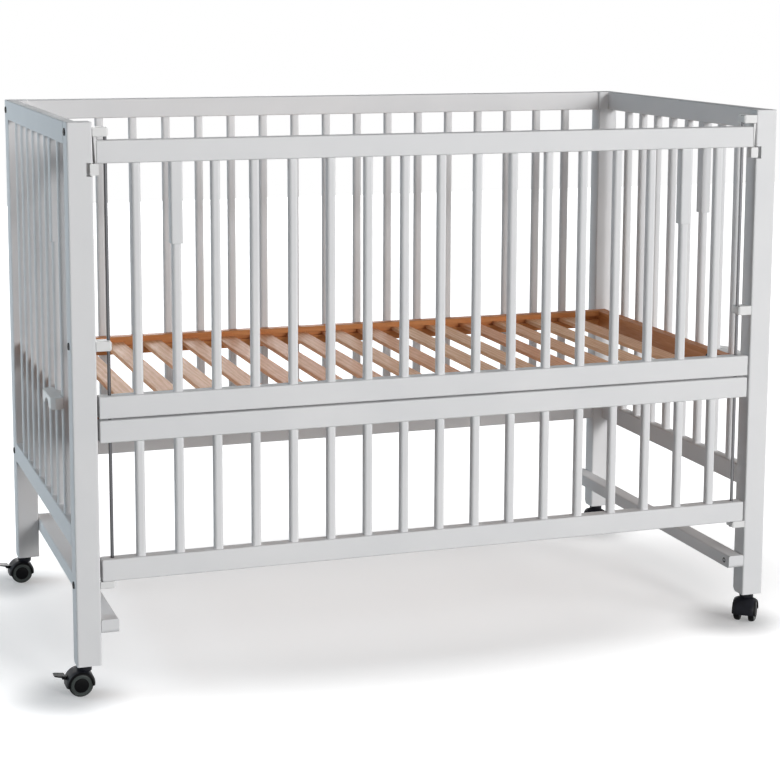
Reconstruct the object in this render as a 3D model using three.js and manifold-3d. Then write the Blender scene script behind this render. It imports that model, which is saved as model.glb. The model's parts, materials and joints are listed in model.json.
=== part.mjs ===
// A child's crib for the side of a bed: four posts, two barred ends, a fixed rear side, and a front
// made of an upper gate on guide rods over a lower gate. A slatted base clamps to the end bars, and the
// posts stand on twin-wheel castors. Millimetres, +Z up, the gates face -Y, +X runs to their right.
import * as THREE from 'three';
import { mergeVertices } from 'three/addons/utils/BufferGeometryUtils.js';
import Module from 'manifold-3d';

const wasm = await Module();
wasm.setup();

// Whole crib, over the posts
const cribLength = 1243;
const cribDepth = 678;
const cribHeight = 924;
const castorHeight = 50;

// Posts
const postWidth = 40;
const postDepth = 36;
const postRound = 3;
const postFootCut = 8;

// Rails and bars of the sides
const railHeight = 36;
const railRound = 2.5;
const endRailThick = 20;
const rearRailThick = 24;
const sideBottomRailBase = 240;
const barSize = 15;
const barRound = 3.5;
const barTenon = 8;
const endBarCount = 8;
const endBarMargin = 78;
const rearBarCount = 17;
const rearBarMargin = 68.5;

// Gates
const gateThick = 24;
const gateEndGap = 5.9;
const gateTopDrop = 28.5;
const gateHeadroom = 5.9;
const gateBottomRailBase = 454;
const gatesGap = 3;
const lowerGateBase = 188;
const gateBarCount = 17;
const gateBarMargin = 62.6;

// Slip bars, their sleeves and springs
const slipTravel = 12;
const slipHeadroom = 0.5;
const slipClearance = 0.3;
const sleeveSize = 20;
const sleeveRound = 3;
const gateSleeveLength = 130.5;
const endSleeveLength = 169.5;
const pegRadius = 4;
const pegLength = 10;
const pegClearance = 0.1;
const springBoreRadius = 4.6;
const springBoreDepth = 28;
const springCoilRadius = 3.5;
const springWireRadius = 0.6;
const springTurns = 4;
const leftEndSlipIndex = 1;
const rightEndSlipIndex = 2;
const gateSlipIndex = 1;

// Guide rods and their brackets
const rodRadius = 2.75;
const rodInset = 21.5;
const rodRunning = 0.35;
const rodFit = 0.1;
const bracketReach = 25.5;
const bracketRound = 8;
const topBracketThick = 14.3;
const middleBracketRise = 73;
const middleBracketThick = 16;
const bottomBracketThick = 11.4;

// Latches
const latchDepth = 14;
const latchFrontInset = 0.4;
const latchStripThick = 1.8;
const latchTopGap = 0.3;
const latchPostGap = 1.3;
const latchSlant = 2.4;
const hookHeight = 18.2;
const hookOverlap = 3.4;
const hookOuterReach = 4.9;
const hookShoulder = 2.8;
const recessBelow = 3;
const recessAbove = 6.3;
const recessWidth = 12;
const recessDepth = 15;

// Stretchers near the floor
const stretcherWidth = 28.9;
const stretcherHeight = 23;
const stretcherBase = 102;
const stretcherRound = 4;

// Bolts
const boltHeadRadius = 6;
const boltHeadThick = 2.2;
const boltRadius = 3;
const boltGrip = 14;
const boltClearance = 0.1;
const boltTipClearance = 1;

// Base
const baseSideGap = 1.5;
const baseFrontGap = 3;
const baseRailBase = 440;
const baseRailHeight = 34;
const baseRailThick = 22;
const baseRailRound = 2;
const slatCount = 15;
const slatWidth = 38;
const slatThick = 8;
const slatRound = 2.5;
const slatDrop = 10;
const slatMargin = 70.5;
const slatBearing = 8;
const slatClearance = 0.3;

// Grips that clamp the base to the end bars
const gripEndReach = 7.4;
const gripThick = 19.2;
const gripHeight = 19.4;
const gripTopDrop = 2;
const gripCorner = 7;
const gripArchWidth = 38;
const gripArchHeight = 12;
const gripBackWall = 5.5;
const gripBarGap = 0.3;
const gripTongueGap = 4.6;
const gripTongueHeight = 18;
const gripTongueSink = 3;

// Castors
const castorTrail = 14;
const wheelRadius = 20;
const wheelGap = 14.5;
const wheelOuter = 44;
const wheelTread = 2.3;
const wheelShoulder = 1;
const wheelFaceStep = 4.4;
const axleRadius = 3;
const axleSink = 7.25;
const axleClearance = 0.1;
const webThick = 13;
const webRadius = 22;
const webHubRadius = 10;
const hoodInner = 21.2;
const hoodWall = 2.5;
const hoodWidth = 43;
const hoodCrown = 34;
const hoodEdgeDrop = 2.4;
const bossRadius = 12.5;
const bossBase = 41.5;
const seatGap = 0.3;
const stemRadius = 5;
const stemLength = 36;
const stemClearance = 0.1;
const stemTipClearance = 2;
const pedalPivotBack = 17;
const pedalPivotRise = 9;
const pedalReach = 25.5;
const pedalRise = 8.3;
const pedalArmThick = 6;
const pedalArmWidth = 7;
const pedalPaddleStart = 7;
const pedalPaddleWidth = 20;
const pedalTipThick = 1.6;
const pedalPinRadius = 1.5;
const pedalClearance = 0.3;
const pedalSlotTop = 6;
const pedalSlotBottom = 7.5;
const rightCastorTurn = THREE.MathUtils.degToRad(50);
const hoodFrontAngle = THREE.MathUtils.degToRad(-5);
const hoodRearAngle = THREE.MathUtils.degToRad(190);

// One overrun serves all cuts
const overrun = 2;

// Facets of round shapes
// (a curved corner gets twice as many facets as its steps)
const cornerSteps = 1;
const archSteps = 4;
const rodSides = 12;
const boltSides = 10;
const stemSides = 20;
const wheelSides = 20;
const springShapeSteps = 2;
const springSteps = 8;

// Sizes that follow from the ones above
const postX = cribLength / 2 - postWidth / 2;
const postY = cribDepth / 2 - postDepth / 2;
const postInnerX = cribLength / 2 - postWidth;
const postInnerY = cribDepth / 2 - postDepth;
const endBarX = cribLength / 2 - endRailThick / 2;
const gateY = -cribDepth / 2 + gateThick / 2;
const gateEnd = postInnerX - gateEndGap;
const rodX = postInnerX - rodInset;
const topRailBase = cribHeight - railHeight;
const gateTopRailBase = topRailBase - gateTopDrop;
const lowerTopRailBase = gateBottomRailBase - gatesGap - railHeight;
const topBracketBase = gateTopRailBase + railHeight + gateHeadroom;
const middleBracketBase = gateBottomRailBase + railHeight + middleBracketRise;
const bottomBracketBase = lowerGateBase - bottomBracketThick;
const hookTop = gateTopRailBase - seatGap;
const hookBase = hookTop - hookHeight;
const endBarPitch = (2 * (postInnerY - endBarMargin)) / (endBarCount - 1);
const baseHalfLength = cribLength / 2 - endRailThick - baseSideGap;
const baseHalfDepth = postInnerY - baseFrontGap;
const slatTop = baseRailBase + baseRailHeight - slatDrop;
const slatBase = slatTop - slatThick;
const gripLength = endBarPitch + barSize + 2 * gripEndReach;
const gripTongueWidth = endBarPitch - barSize - 2 * gripTongueGap;
const gripY = endBarMargin - postInnerY + endBarPitch / 2;
const gripInner = endBarX + barSize / 2 + gripBarGap;
const gripTop = baseRailBase + baseRailHeight - gripTopDrop;
const clampZ = gripTop - gripHeight / 2;
const pedalPivotX = -castorTrail - pedalPivotBack;
const pedalPivotZ = wheelRadius + pedalPivotRise;

// Finishes
const paint = new THREE.MeshStandardMaterial({ color: 0xe8e7e6, roughness: 0.45, metalness: 0 });
const plastic = new THREE.MeshStandardMaterial({ color: 0xeeeeec, roughness: 0.35, metalness: 0 });
const beech = new THREE.MeshStandardMaterial({ color: 0xc9925c, roughness: 0.6, metalness: 0 });
const rodSteel = new THREE.MeshStandardMaterial({ color: 0x55575a, roughness: 0.3, metalness: 1 });
const boltSteel = new THREE.MeshStandardMaterial({ color: 0x3a3b3d, roughness: 0.4, metalness: 1 });
const springSteel = new THREE.MeshStandardMaterial({ color: 0x9a9c9e, roughness: 0.35, metalness: 1 });
const housingPlastic = new THREE.MeshStandardMaterial({ color: 0x17181a, roughness: 0.35, metalness: 0 });
const tyrePlastic = new THREE.MeshStandardMaterial({ color: 0x232426, roughness: 0.6, metalness: 0 });

const crib = new THREE.Group();

// Adds one named piece to a group.
function place(name, geometry, material, parent = crib) {
  const mesh = new THREE.Mesh(geometry, material);
  mesh.name = name;
  parent.add(mesh);
  return mesh;
}

// Keeps only positions, so that solids can be joined and merged.
function bare(geometry) {
  geometry.deleteAttribute('normal');
  geometry.deleteAttribute('uv');
  return geometry.index ? geometry.toNonIndexed() : geometry;
}

function toSolid(geometry) {
  const welded = mergeVertices(bare(geometry));
  return new wasm.Manifold(new wasm.Mesh({
    numProp: 3,
    vertProperties: new Float32Array(welded.attributes.position.array),
    triVerts: new Uint32Array(welded.index.array),
  }));
}

function fromSolid(body) {
  const mesh = body.getMesh();
  const geometry = new THREE.BufferGeometry();
  geometry.setAttribute('position', new THREE.BufferAttribute(new Float32Array(mesh.vertProperties), 3));
  geometry.setIndex(new THREE.BufferAttribute(new Uint32Array(mesh.triVerts), 1));
  return geometry;
}

// The first geometry with all the others taken away.
function cut(geometry, ...tools) {
  let body = toSolid(geometry);
  for (const tool of tools) {
    body = body.subtract(toSolid(tool));
  }
  return fromSolid(body);
}

function join(...geometries) {
  let body = toSolid(geometries[0]);
  for (const geometry of geometries.slice(1)) {
    body = body.add(toSolid(geometry));
  }
  return fromSolid(body);
}

function intersect(first, second) {
  return fromSolid(toSolid(first).intersect(toSolid(second)));
}

// A rectangle with round corners, centred on its own middle.
function roundedRectangle(width, height, round) {
  const shape = new THREE.Shape();
  const halfWidth = width / 2;
  const halfHeight = height / 2;
  shape.moveTo(halfWidth, halfHeight - round);
  shape.absarc(halfWidth - round, halfHeight - round, round, 0, Math.PI / 2);
  shape.absarc(round - halfWidth, halfHeight - round, round, Math.PI / 2, Math.PI);
  shape.absarc(round - halfWidth, round - halfHeight, round, Math.PI, 1.5 * Math.PI);
  shape.absarc(halfWidth - round, round - halfHeight, round, 1.5 * Math.PI, 2 * Math.PI);
  return shape;
}

// Shapes are drawn across the run, and the run is turned from Z to the axis asked for.
function turnTo(axis, geometry) {
  const x = new THREE.Vector3(1, 0, 0);
  const y = new THREE.Vector3(0, 1, 0);
  const z = new THREE.Vector3(0, 0, 1);
  const bases = { x: [y, z, x], y: [z, x, y], z: [x, y, z] };
  return geometry.applyMatrix4(new THREE.Matrix4().makeBasis(...bases[axis]));
}

// A straight run of a shape from one place to another along an axis, centred on a and b across it.
function run(axis, shape, from, to, a, b, steps = cornerSteps) {
  const geometry = new THREE.ExtrudeGeometry(shape, {
    depth: to - from,
    bevelEnabled: false,
    curveSegments: steps,
  });
  geometry.translate(a, b, from);
  return turnTo(axis, geometry);
}

function upright(width, depth, round, from, to, x, y) {
  return run('z', roundedRectangle(width, depth, round), from, to, x, y);
}

function alongX(depth, height, round, from, to, y, z) {
  return run('x', roundedRectangle(depth, height, round), from, to, y, z);
}

function alongY(width, height, round, from, to, x, z) {
  return run('y', roundedRectangle(height, width, round), from, to, z, x);
}

// A block between two corners.
function block(low, high) {
  const size = high.map((value, index) => value - low[index]);
  const geometry = new THREE.BoxGeometry(...size);
  return geometry.translate(...low.map((value, index) => value + size[index] / 2));
}

// A round bar along an axis, placed like a run.
function roundBar(axis, radius, from, to, a, b, sides) {
  const geometry = new THREE.CylinderGeometry(radius, radius, to - from, sides);
  geometry.rotateX(Math.PI / 2);
  geometry.translate(a, b, (from + to) / 2);
  return turnTo(axis, geometry);
}

// A plate drawn in X and Z, with its thickness centred on y.
function sidePlate(shape, thickness, y, steps) {
  const geometry = new THREE.ExtrudeGeometry(shape, {
    depth: thickness,
    bevelEnabled: false,
    curveSegments: steps,
  });
  geometry.translate(0, 0, -thickness / 2);
  geometry.rotateX(Math.PI / 2);
  return geometry.translate(0, y, 0);
}

function spread(count, half, margin) {
  const pitch = (2 * (half - margin)) / (count - 1);
  return Array.from({ length: count }, (_, index) => margin - half + index * pitch);
}

// A headed bolt along X: the head's seat is at x, the shank runs on by length towards `way`.
function bolt(x, y, z, way, headRadius, headThick, radius, length) {
  const profile = [[0, -headThick], [headRadius, -headThick], [headRadius, 0], [radius, 0]];
  profile.push([radius, length], [0, length]);
  const points = profile.map(([across, along]) => new THREE.Vector2(across, along));
  const geometry = new THREE.LatheGeometry(points, boltSides);
  geometry.rotateZ(-way * Math.PI / 2);
  return geometry.translate(x, y, z);
}

function frameBolt(side, y, z) {
  const length = postWidth + boltGrip;
  return bolt(side * cribLength / 2, y, z, -side, boltHeadRadius, boltHeadThick, boltRadius, length);
}

// The hole for a bolt through a post and on into the piece that it holds.
function boltHole(side, y, z) {
  const outer = side * (cribLength / 2 + overrun);
  const inner = side * (postInnerX - boltGrip - boltTipClearance);
  const from = Math.min(outer, inner);
  const to = Math.max(outer, inner);
  return roundBar('x', boltRadius + boltClearance, from, to, y, z, boltSides);
}

const bracketBolts = [
  topBracketBase + topBracketThick / 2,
  middleBracketBase + middleBracketThick / 2,
  bottomBracketBase + bottomBracketThick / 2,
];
const rearBolts = [topRailBase + railHeight / 2, sideBottomRailBase + railHeight / 2];

// A wedge that takes the rear bottom corner off a post.
function footCut(side, row) {
  const shape = new THREE.Shape();
  const back = row * postY + postDepth / 2;
  shape.moveTo(back - postFootCut, castorHeight - overrun);
  shape.lineTo(back + overrun, castorHeight - overrun);
  shape.lineTo(back + overrun, castorHeight + postFootCut + overrun);
  shape.lineTo(back, castorHeight + postFootCut);
  shape.lineTo(back - postFootCut, castorHeight);
  const from = side * postX - postWidth / 2 - overrun;
  const to = side * postX + postWidth / 2 + overrun;
  return run('x', shape, from, to, 0, 0);
}

function latchRecess(side) {
  const inner = side * (postInnerX - overrun);
  const outer = side * (postInnerX + recessWidth);
  const front = -cribDepth / 2;
  const low = [Math.min(inner, outer), front - overrun, hookBase - recessBelow];
  const high = [Math.max(inner, outer), front + recessDepth, hookTop + recessAbove];
  return block(low, high);
}

function post(side, row) {
  const stock = upright(postWidth, postDepth, postRound, castorHeight, cribHeight, side * postX, row * postY);
  const socketTop = castorHeight + stemLength + stemTipClearance;
  const socket = roundBar(
    'z', stemRadius + stemClearance, castorHeight - overrun, socketTop, side * postX, row * postY, stemSides,
  );
  const heights = row < 0 ? bracketBolts : rearBolts;
  const holes = heights.map((z) => boltHole(side, row * postY, z));
  const recess = row < 0 ? [latchRecess(side)] : [];
  return cut(stock, socket, footCut(side, row), ...holes, ...recess);
}

// A tube around the top of a slip bar.
function sleeve(x, y, top, length) {
  const shape = roundedRectangle(sleeveSize, sleeveSize, sleeveRound);
  const inner = barSize + 2 * slipClearance;
  shape.holes.push(roundedRectangle(inner, inner, barRound));
  return run('z', shape, top - length, top, x, y);
}

// A bar that lifts into its sleeve and stands on a peg in the bottom rail.
function slipBar(x, y, bottom, top) {
  const barTop = top - slipTravel - slipHeadroom;
  const stock = upright(barSize, barSize, barRound, bottom, barTop, x, y);
  const peg = roundBar('z', pegRadius, bottom - pegLength, bottom + overrun, x, y, rodSides);
  const boreBase = barTop - springBoreDepth;
  const springBore = roundBar('z', springBoreRadius, boreBase, barTop + overrun, x, y, rodSides);
  return cut(join(stock, peg), springBore);
}

function pegHole(x, y, bottom) {
  const low = bottom - pegLength - seatGap;
  return roundBar('z', pegRadius + pegClearance, low, bottom + overrun, x, y, rodSides);
}

// A compression spring between the slip bar's bore and the rail above.
function slipSpring(x, y, top) {
  const low = top - slipTravel - slipHeadroom - springBoreDepth + seatGap + springWireRadius;
  const high = top - seatGap - springWireRadius;
  class Helix extends THREE.Curve {
    getPoint(share, target = new THREE.Vector3()) {
      const angle = 2 * Math.PI * springTurns * share;
      const height = low + (high - low) * share;
      const across = springCoilRadius * Math.cos(angle);
      return target.set(x + across, y + springCoilRadius * Math.sin(angle), height);
    }
  }
  const shape = new THREE.Shape();
  shape.absarc(0, 0, springWireRadius, 0, 2 * Math.PI);
  const options = { extrudePath: new Helix(), steps: springTurns * springSteps };
  return new THREE.ExtrudeGeometry(shape, { ...options, curveSegments: springShapeSteps, bevelEnabled: false });
}

// Upright bars at the places given, with tenons in the rails below and above.
function bars(places, bottom, top) {
  return places.map(
    ([x, y]) => upright(barSize, barSize, barRound, bottom - barTenon, top + barTenon, x, y),
  );
}

const rows = { front: -1, rear: 1 };
const sides = { left: -1, right: 1 };

function addPosts() {
  for (const [sideName, side] of Object.entries(sides)) {
    for (const [rowName, row] of Object.entries(rows)) {
      place(`${sideName}_${rowName}_post`, post(side, row), paint);
    }
  }
}

function addEnd(sideName, side, slipIndex) {
  const x = side * endBarX;
  const bottomRailTop = sideBottomRailBase + railHeight;
  const places = spread(endBarCount, postInnerY, endBarMargin);
  const slipY = places[slipIndex];
  const topRail = alongY(
    endRailThick, railHeight, railRound, -postInnerY, postInnerY, x, topRailBase + railHeight / 2,
  );
  const bottomRail = alongY(
    endRailThick, railHeight, railRound, -postInnerY, postInnerY, x, sideBottomRailBase + railHeight / 2,
  );
  const fixed = places.filter((_, index) => index !== slipIndex).map((y) => [x, y]);
  const panel = join(topRail, bottomRail, ...bars(fixed, bottomRailTop, topRailBase));
  place(`${sideName}_end_panel`, cut(panel, pegHole(x, slipY, bottomRailTop)), paint);
  place(`${sideName}_end_sleeve`, sleeve(x, slipY, topRailBase, endSleeveLength), paint);
  place(`${sideName}_end_slip_bar`, slipBar(x, slipY, bottomRailTop, topRailBase), paint);
  place(`${sideName}_end_slip_spring`, slipSpring(x, slipY, topRailBase), springSteel);
}

function addRearSide() {
  const y = postY;
  const holes = [-1, 1].flatMap((side) => rearBolts.map((z) => boltHole(side, y, z)));
  const rails = [topRailBase, sideBottomRailBase].map(
    (base) => alongX(rearRailThick, railHeight, railRound, -postInnerX, postInnerX, y, base + railHeight / 2),
  );
  const places = spread(rearBarCount, postInnerX, rearBarMargin).map((x) => [x, y]);
  const panel = join(...rails, ...bars(places, sideBottomRailBase + railHeight, topRailBase));
  place('rear_panel', cut(panel, ...holes), paint);
}

// A gate's two rails and its bars, with holes that run on the guide rods.
function gatePanel(bottomBase, topBase, places, ...tools) {
  const rails = [bottomBase, topBase].map(
    (base) => alongX(gateThick, railHeight, railRound, -gateEnd, gateEnd, gateY, base + railHeight / 2),
  );
  const from = bottomBase - overrun;
  const to = topBase + railHeight + overrun;
  const holes = [-rodX, rodX].map((x) => roundBar('z', rodRadius + rodRunning, from, to, x, gateY, rodSides));
  return cut(join(...rails, ...bars(places, bottomBase + railHeight, topBase)), ...holes, ...tools);
}

function addUpperGate() {
  const bottom = gateBottomRailBase + railHeight;
  const top = gateTopRailBase;
  const places = spread(gateBarCount, gateEnd, gateBarMargin);
  const slips = { left: places[gateSlipIndex], right: places[gateBarCount - 1 - gateSlipIndex] };
  const slipPlaces = Object.values(slips);
  const fixed = places.filter((x) => !slipPlaces.includes(x)).map((x) => [x, gateY]);
  const pegHoles = slipPlaces.map((x) => pegHole(x, gateY, bottom));
  place('upper_gate_panel', gatePanel(gateBottomRailBase, gateTopRailBase, fixed, ...pegHoles), paint);
  for (const [name, x] of Object.entries(slips)) {
    place(`${name}_gate_sleeve`, sleeve(x, gateY, top, gateSleeveLength), paint);
    place(`${name}_gate_slip_bar`, slipBar(x, gateY, bottom, top), paint);
    place(`${name}_gate_slip_spring`, slipSpring(x, gateY, top), springSteel);
  }
}

function addLowerGate() {
  const places = spread(gateBarCount, gateEnd, gateBarMargin).map((x) => [x, gateY]);
  place('lower_gate_panel', gatePanel(lowerGateBase, lowerTopRailBase, places), paint);
}

// A plastic bracket on the post's inner face that holds the guide rod.
function rodBracket(side, base, thick) {
  const shape = new THREE.Shape();
  const half = gateThick / 2;
  shape.moveTo(0, -half);
  shape.lineTo(bracketReach - bracketRound, -half);
  shape.absarc(bracketReach - bracketRound, bracketRound - half, bracketRound, -Math.PI / 2, 0);
  shape.absarc(bracketReach - bracketRound, half - bracketRound, bracketRound, 0, Math.PI / 2);
  shape.lineTo(0, half);
  const arm = run('z', shape, base, base + thick, 0, 0, 2 * cornerSteps);
  arm.rotateZ(side > 0 ? Math.PI : 0);
  arm.translate(side * postInnerX, gateY, 0);
  const from = base - overrun;
  const to = base + thick + overrun;
  const rodHole = roundBar('z', rodRadius + rodFit, from, to, side * rodX, gateY, rodSides);
  return cut(arm, rodHole, boltHole(side, -postY, base + thick / 2));
}

function addRodsAndBrackets() {
  const levels = {
    top: [topBracketBase, topBracketThick],
    middle: [middleBracketBase, middleBracketThick],
    bottom: [bottomBracketBase, bottomBracketThick],
  };
  for (const [name, side] of Object.entries(sides)) {
    for (const [level, [base, thick]] of Object.entries(levels)) {
      place(`${name}_${level}_rod_bracket`, rodBracket(side, base, thick), plastic);
      place(`${name}_${level}_bracket_bolt`, frameBolt(side, -postY, base + thick / 2), boltSteel);
    }
    const top = topBracketBase + topBracketThick;
    const rod = roundBar('z', rodRadius, bottomBracketBase, top, side * rodX, gateY, rodSides);
    place(`${name}_guide_rod`, rod, rodSteel);
  }
}

// A springy strip that hangs from the top bracket, with a hook under the gate's top rail.
// It is drawn for the right side, with x growing towards the post.
function latch(side) {
  const top = topBracketBase - latchTopGap;
  const stripTopOuter = postInnerX - latchPostGap;
  const stripTopInner = stripTopOuter - latchStripThick;
  const stripLowInner = stripTopInner - latchSlant;
  const stripLowOuter = stripTopOuter - latchSlant;
  const hookInner = gateEnd - hookOverlap;
  const hookOuter = postInnerX + hookOuterReach;
  const shape = new THREE.Shape();
  shape.moveTo(stripTopInner, top);
  shape.lineTo(stripLowInner, hookTop);
  shape.lineTo(hookInner, hookTop);
  shape.lineTo(hookInner, hookBase);
  shape.lineTo(hookOuter, hookBase);
  shape.lineTo(hookOuter, hookTop);
  shape.lineTo(stripLowOuter, hookTop + hookShoulder);
  shape.lineTo(stripTopOuter, top);
  const y = -cribDepth / 2 + latchFrontInset + latchDepth / 2;
  const plate = sidePlate(shape, latchDepth, 0, cornerSteps);
  plate.rotateZ(side > 0 ? 0 : Math.PI);
  return plate.translate(0, y, 0);
}

function addLatches() {
  for (const [name, side] of Object.entries(sides)) {
    place(`${name}_latch`, latch(side), plastic);
  }
}

function addStretchers() {
  const middle = stretcherBase + stretcherHeight / 2;
  for (const [name, side] of Object.entries(sides)) {
    const x = side * (postInnerX - stretcherWidth / 2);
    const half = cribDepth / 2;
    const stock = alongY(stretcherWidth, stretcherHeight, stretcherRound, -half, half, x, middle);
    place(`${name}_stretcher`, stock, paint);
  }
}

function addRearBolts() {
  const levels = { top: rearBolts[0], bottom: rearBolts[1] };
  for (const [name, side] of Object.entries(sides)) {
    for (const [level, z] of Object.entries(levels)) {
      place(`${name}_${level}_rear_bolt`, frameBolt(side, postY, z), boltSteel);
    }
  }
}

function clampHole(side) {
  const head = baseHalfLength - baseRailThick - overrun;
  const tip = baseHalfLength + boltGrip + boltTipClearance;
  const from = side > 0 ? head : -tip;
  const to = side > 0 ? tip : -head;
  return roundBar('x', boltRadius + boltClearance, from, to, gripY, clampZ, boltSides);
}

// A grip across two end bars, with an arched finger hollow and a tongue between the bars.
function grip(side) {
  const outline = new THREE.Shape();
  const half = gripLength / 2;
  outline.moveTo(-half, 0);
  outline.lineTo(half, 0);
  outline.lineTo(half, gripThick - gripCorner);
  outline.lineTo(half - gripCorner, gripThick);
  outline.lineTo(gripCorner - half, gripThick);
  outline.lineTo(-half, gripThick - gripCorner);
  const plate = run('z', outline, gripTop - gripHeight, gripTop, 0, 0);
  plate.rotateZ(side > 0 ? -Math.PI / 2 : Math.PI / 2);
  plate.translate(side * gripInner, gripY, 0);
  const arch = new THREE.Shape();
  const archHalf = gripArchWidth / 2;
  const springing = gripTop - gripHeight + gripArchHeight / 2;
  arch.moveTo(-archHalf, gripTop - gripHeight - overrun);
  arch.lineTo(archHalf, gripTop - gripHeight - overrun);
  arch.lineTo(archHalf, springing);
  arch.absellipse(0, springing, archHalf, gripArchHeight / 2, 0, Math.PI);
  const nearX = gripInner + gripBackWall;
  const farX = gripInner + gripThick + overrun;
  const from = side > 0 ? nearX : -farX;
  const to = side > 0 ? farX : -nearX;
  const archCut = run('x', arch, from, to, gripY, 0, archSteps);
  const tongueNear = side * baseHalfLength;
  const tongueFar = side * (gripInner + gripTongueSink);
  const tongueLow = clampZ - gripTongueHeight / 2;
  const low = [Math.min(tongueNear, tongueFar), gripY - gripTongueWidth / 2, tongueLow];
  const high = [
    Math.max(tongueNear, tongueFar), gripY + gripTongueWidth / 2, tongueLow + gripTongueHeight,
  ];
  return cut(join(plate, block(low, high)), archCut, clampHole(side));
}

// Four rails with the slats let into grooves in the long ones, and the clamp bolts' holes.
function baseFrame() {
  const middle = baseRailBase + baseRailHeight / 2;
  const innerX = baseHalfLength - baseRailThick;
  const innerY = baseHalfDepth - baseRailThick;
  const grooves = [];
  const parts = [];
  for (const row of [-1, 1]) {
    const y = row * (baseHalfDepth - baseRailThick / 2);
    parts.push(alongX(
      baseRailThick, baseRailHeight, baseRailRound, -baseHalfLength, baseHalfLength, y, middle,
    ));
    const near = row * (innerY - overrun);
    const far = row * (innerY + slatBearing);
    grooves.push(block(
      [-innerX, Math.min(near, far), slatBase],
      [innerX, Math.max(near, far), slatTop + slatClearance],
    ));
  }
  const longRails = parts.map((rail, index) => cut(rail, grooves[index]));
  const endRails = [-1, 1].map((side) => alongY(
    baseRailThick, baseRailHeight, baseRailRound, -innerY - baseRailRound, innerY + baseRailRound,
    side * (baseHalfLength - baseRailThick / 2), middle,
  ));
  const slatEnd = innerY + slatBearing + slatClearance;
  const slats = spread(slatCount, innerX, slatMargin).map(
    (x) => alongY(slatWidth, slatThick, slatRound, -slatEnd, slatEnd, x, slatBase + slatThick / 2),
  );
  return cut(join(...longRails, ...endRails, ...slats), clampHole(-1), clampHole(1));
}

function addBase() {
  place('base_frame', baseFrame(), beech);
  for (const [name, side] of Object.entries(sides)) {
    const headX = side * (baseHalfLength - baseRailThick);
    const length = baseRailThick + boltGrip;
    const clampBolt = bolt(headX, gripY, clampZ, side, boltHeadRadius, boltHeadThick, boltRadius, length);
    place(`${name}_base_grip`, grip(side), plastic);
    place(`${name}_clamp_bolt`, clampBolt, boltSteel);
  }
}

// Castor pieces are drawn about the swivel axis, trailing towards -X.
function lathe(profile, sidesCount) {
  const points = profile.map(([radius, along]) => new THREE.Vector2(radius, along));
  return new THREE.LatheGeometry(points, sidesCount, Math.PI / sidesCount);
}

function castorSector(radius, width) {
  const shape = new THREE.Shape();
  shape.moveTo(0, 0);
  shape.absarc(0, 0, radius, hoodFrontAngle, hoodRearAngle);
  return sidePlate(shape, width, 0, wheelSides / 2);
}

function castorHood() {
  const half = hoodWidth / 2;
  const crown = hoodCrown / 2;
  const outer = hoodInner + hoodWall;
  const shell = lathe([
    [hoodInner - hoodEdgeDrop, -half], [outer - hoodEdgeDrop, -half], [outer, -crown],
    [outer, crown], [outer - hoodEdgeDrop, half], [hoodInner - hoodEdgeDrop, half],
    [hoodInner, crown], [hoodInner, -crown], [hoodInner - hoodEdgeDrop, -half],
  ], wheelSides);
  return intersect(shell, castorSector(outer + overrun, hoodWidth + overrun));
}

function castorHousing(hasPedal) {
  const hood = castorHood();
  const web = castorSector(webRadius, webThick);
  const hub = roundBar('y', webHubRadius, -webThick / 2, webThick / 2, 0, 0, stemSides);
  const boreHalf = webThick / 2 + overrun;
  const bore = roundBar('y', axleRadius + axleClearance, -boreHalf, boreHalf, 0, 0, stemSides);
  const inner = cut(join(hood, web, hub), bore);
  inner.translate(-castorTrail, 0, wheelRadius);
  const bossTop = castorHeight - seatGap;
  const boss = roundBar('z', bossRadius, bossBase, bossTop, 0, 0, stemSides);
  const stem = roundBar('z', stemRadius, bossBase, castorHeight + stemLength, 0, 0, stemSides);
  const body = join(inner, boss, stem);
  return hasPedal ? cut(body, pedalSlot(), pedalPinHole()) : body;
}

function pedalSlot() {
  const half = pedalArmWidth / 2 + pedalClearance;
  const inner = pedalPivotX + pedalArmThick / 2 + pedalClearance;
  const outer = pedalPivotX - hoodWall - pedalPaddleStart;
  return block(
    [outer, -half, pedalPivotZ - pedalSlotBottom],
    [inner, half, pedalPivotZ + pedalSlotTop],
  );
}

function pedalPinHole() {
  const half = webThick / 2 + overrun;
  const radius = pedalPinRadius + axleClearance;
  return roundBar('y', radius, -half, half, pedalPivotZ, pedalPivotX, rodSides);
}

// A brake pedal: an arm on a pin between the wheels, and a paddle outside the hood.
function brakePedal() {
  const halfArm = pedalArmThick / 2;
  const arm = new THREE.Shape();
  arm.moveTo(pedalPivotX, pedalPivotZ + halfArm);
  arm.lineTo(pedalPivotX - pedalPaddleStart - halfArm, pedalPivotZ + halfArm + pedalTipThick);
  arm.lineTo(pedalPivotX - pedalPaddleStart - halfArm, pedalPivotZ);
  arm.lineTo(pedalPivotX, pedalPivotZ - halfArm);
  arm.absarc(pedalPivotX, pedalPivotZ, halfArm, -Math.PI / 2, Math.PI / 2);
  const paddle = new THREE.Shape();
  paddle.moveTo(pedalPivotX - pedalPaddleStart, pedalPivotZ + halfArm + pedalTipThick);
  paddle.lineTo(pedalPivotX - pedalReach, pedalPivotZ + pedalRise);
  paddle.lineTo(pedalPivotX - pedalReach, pedalPivotZ + pedalRise - pedalTipThick);
  paddle.lineTo(pedalPivotX - pedalPaddleStart, pedalPivotZ);
  const pinHalf = webThick / 2;
  const pin = roundBar('y', pedalPinRadius, -pinHalf, pinHalf, pedalPivotZ, pedalPivotX, rodSides);
  return join(
    sidePlate(arm, pedalArmWidth, 0, archSteps),
    sidePlate(paddle, pedalPaddleWidth, 0, cornerSteps),
    pin,
  );
}

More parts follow.
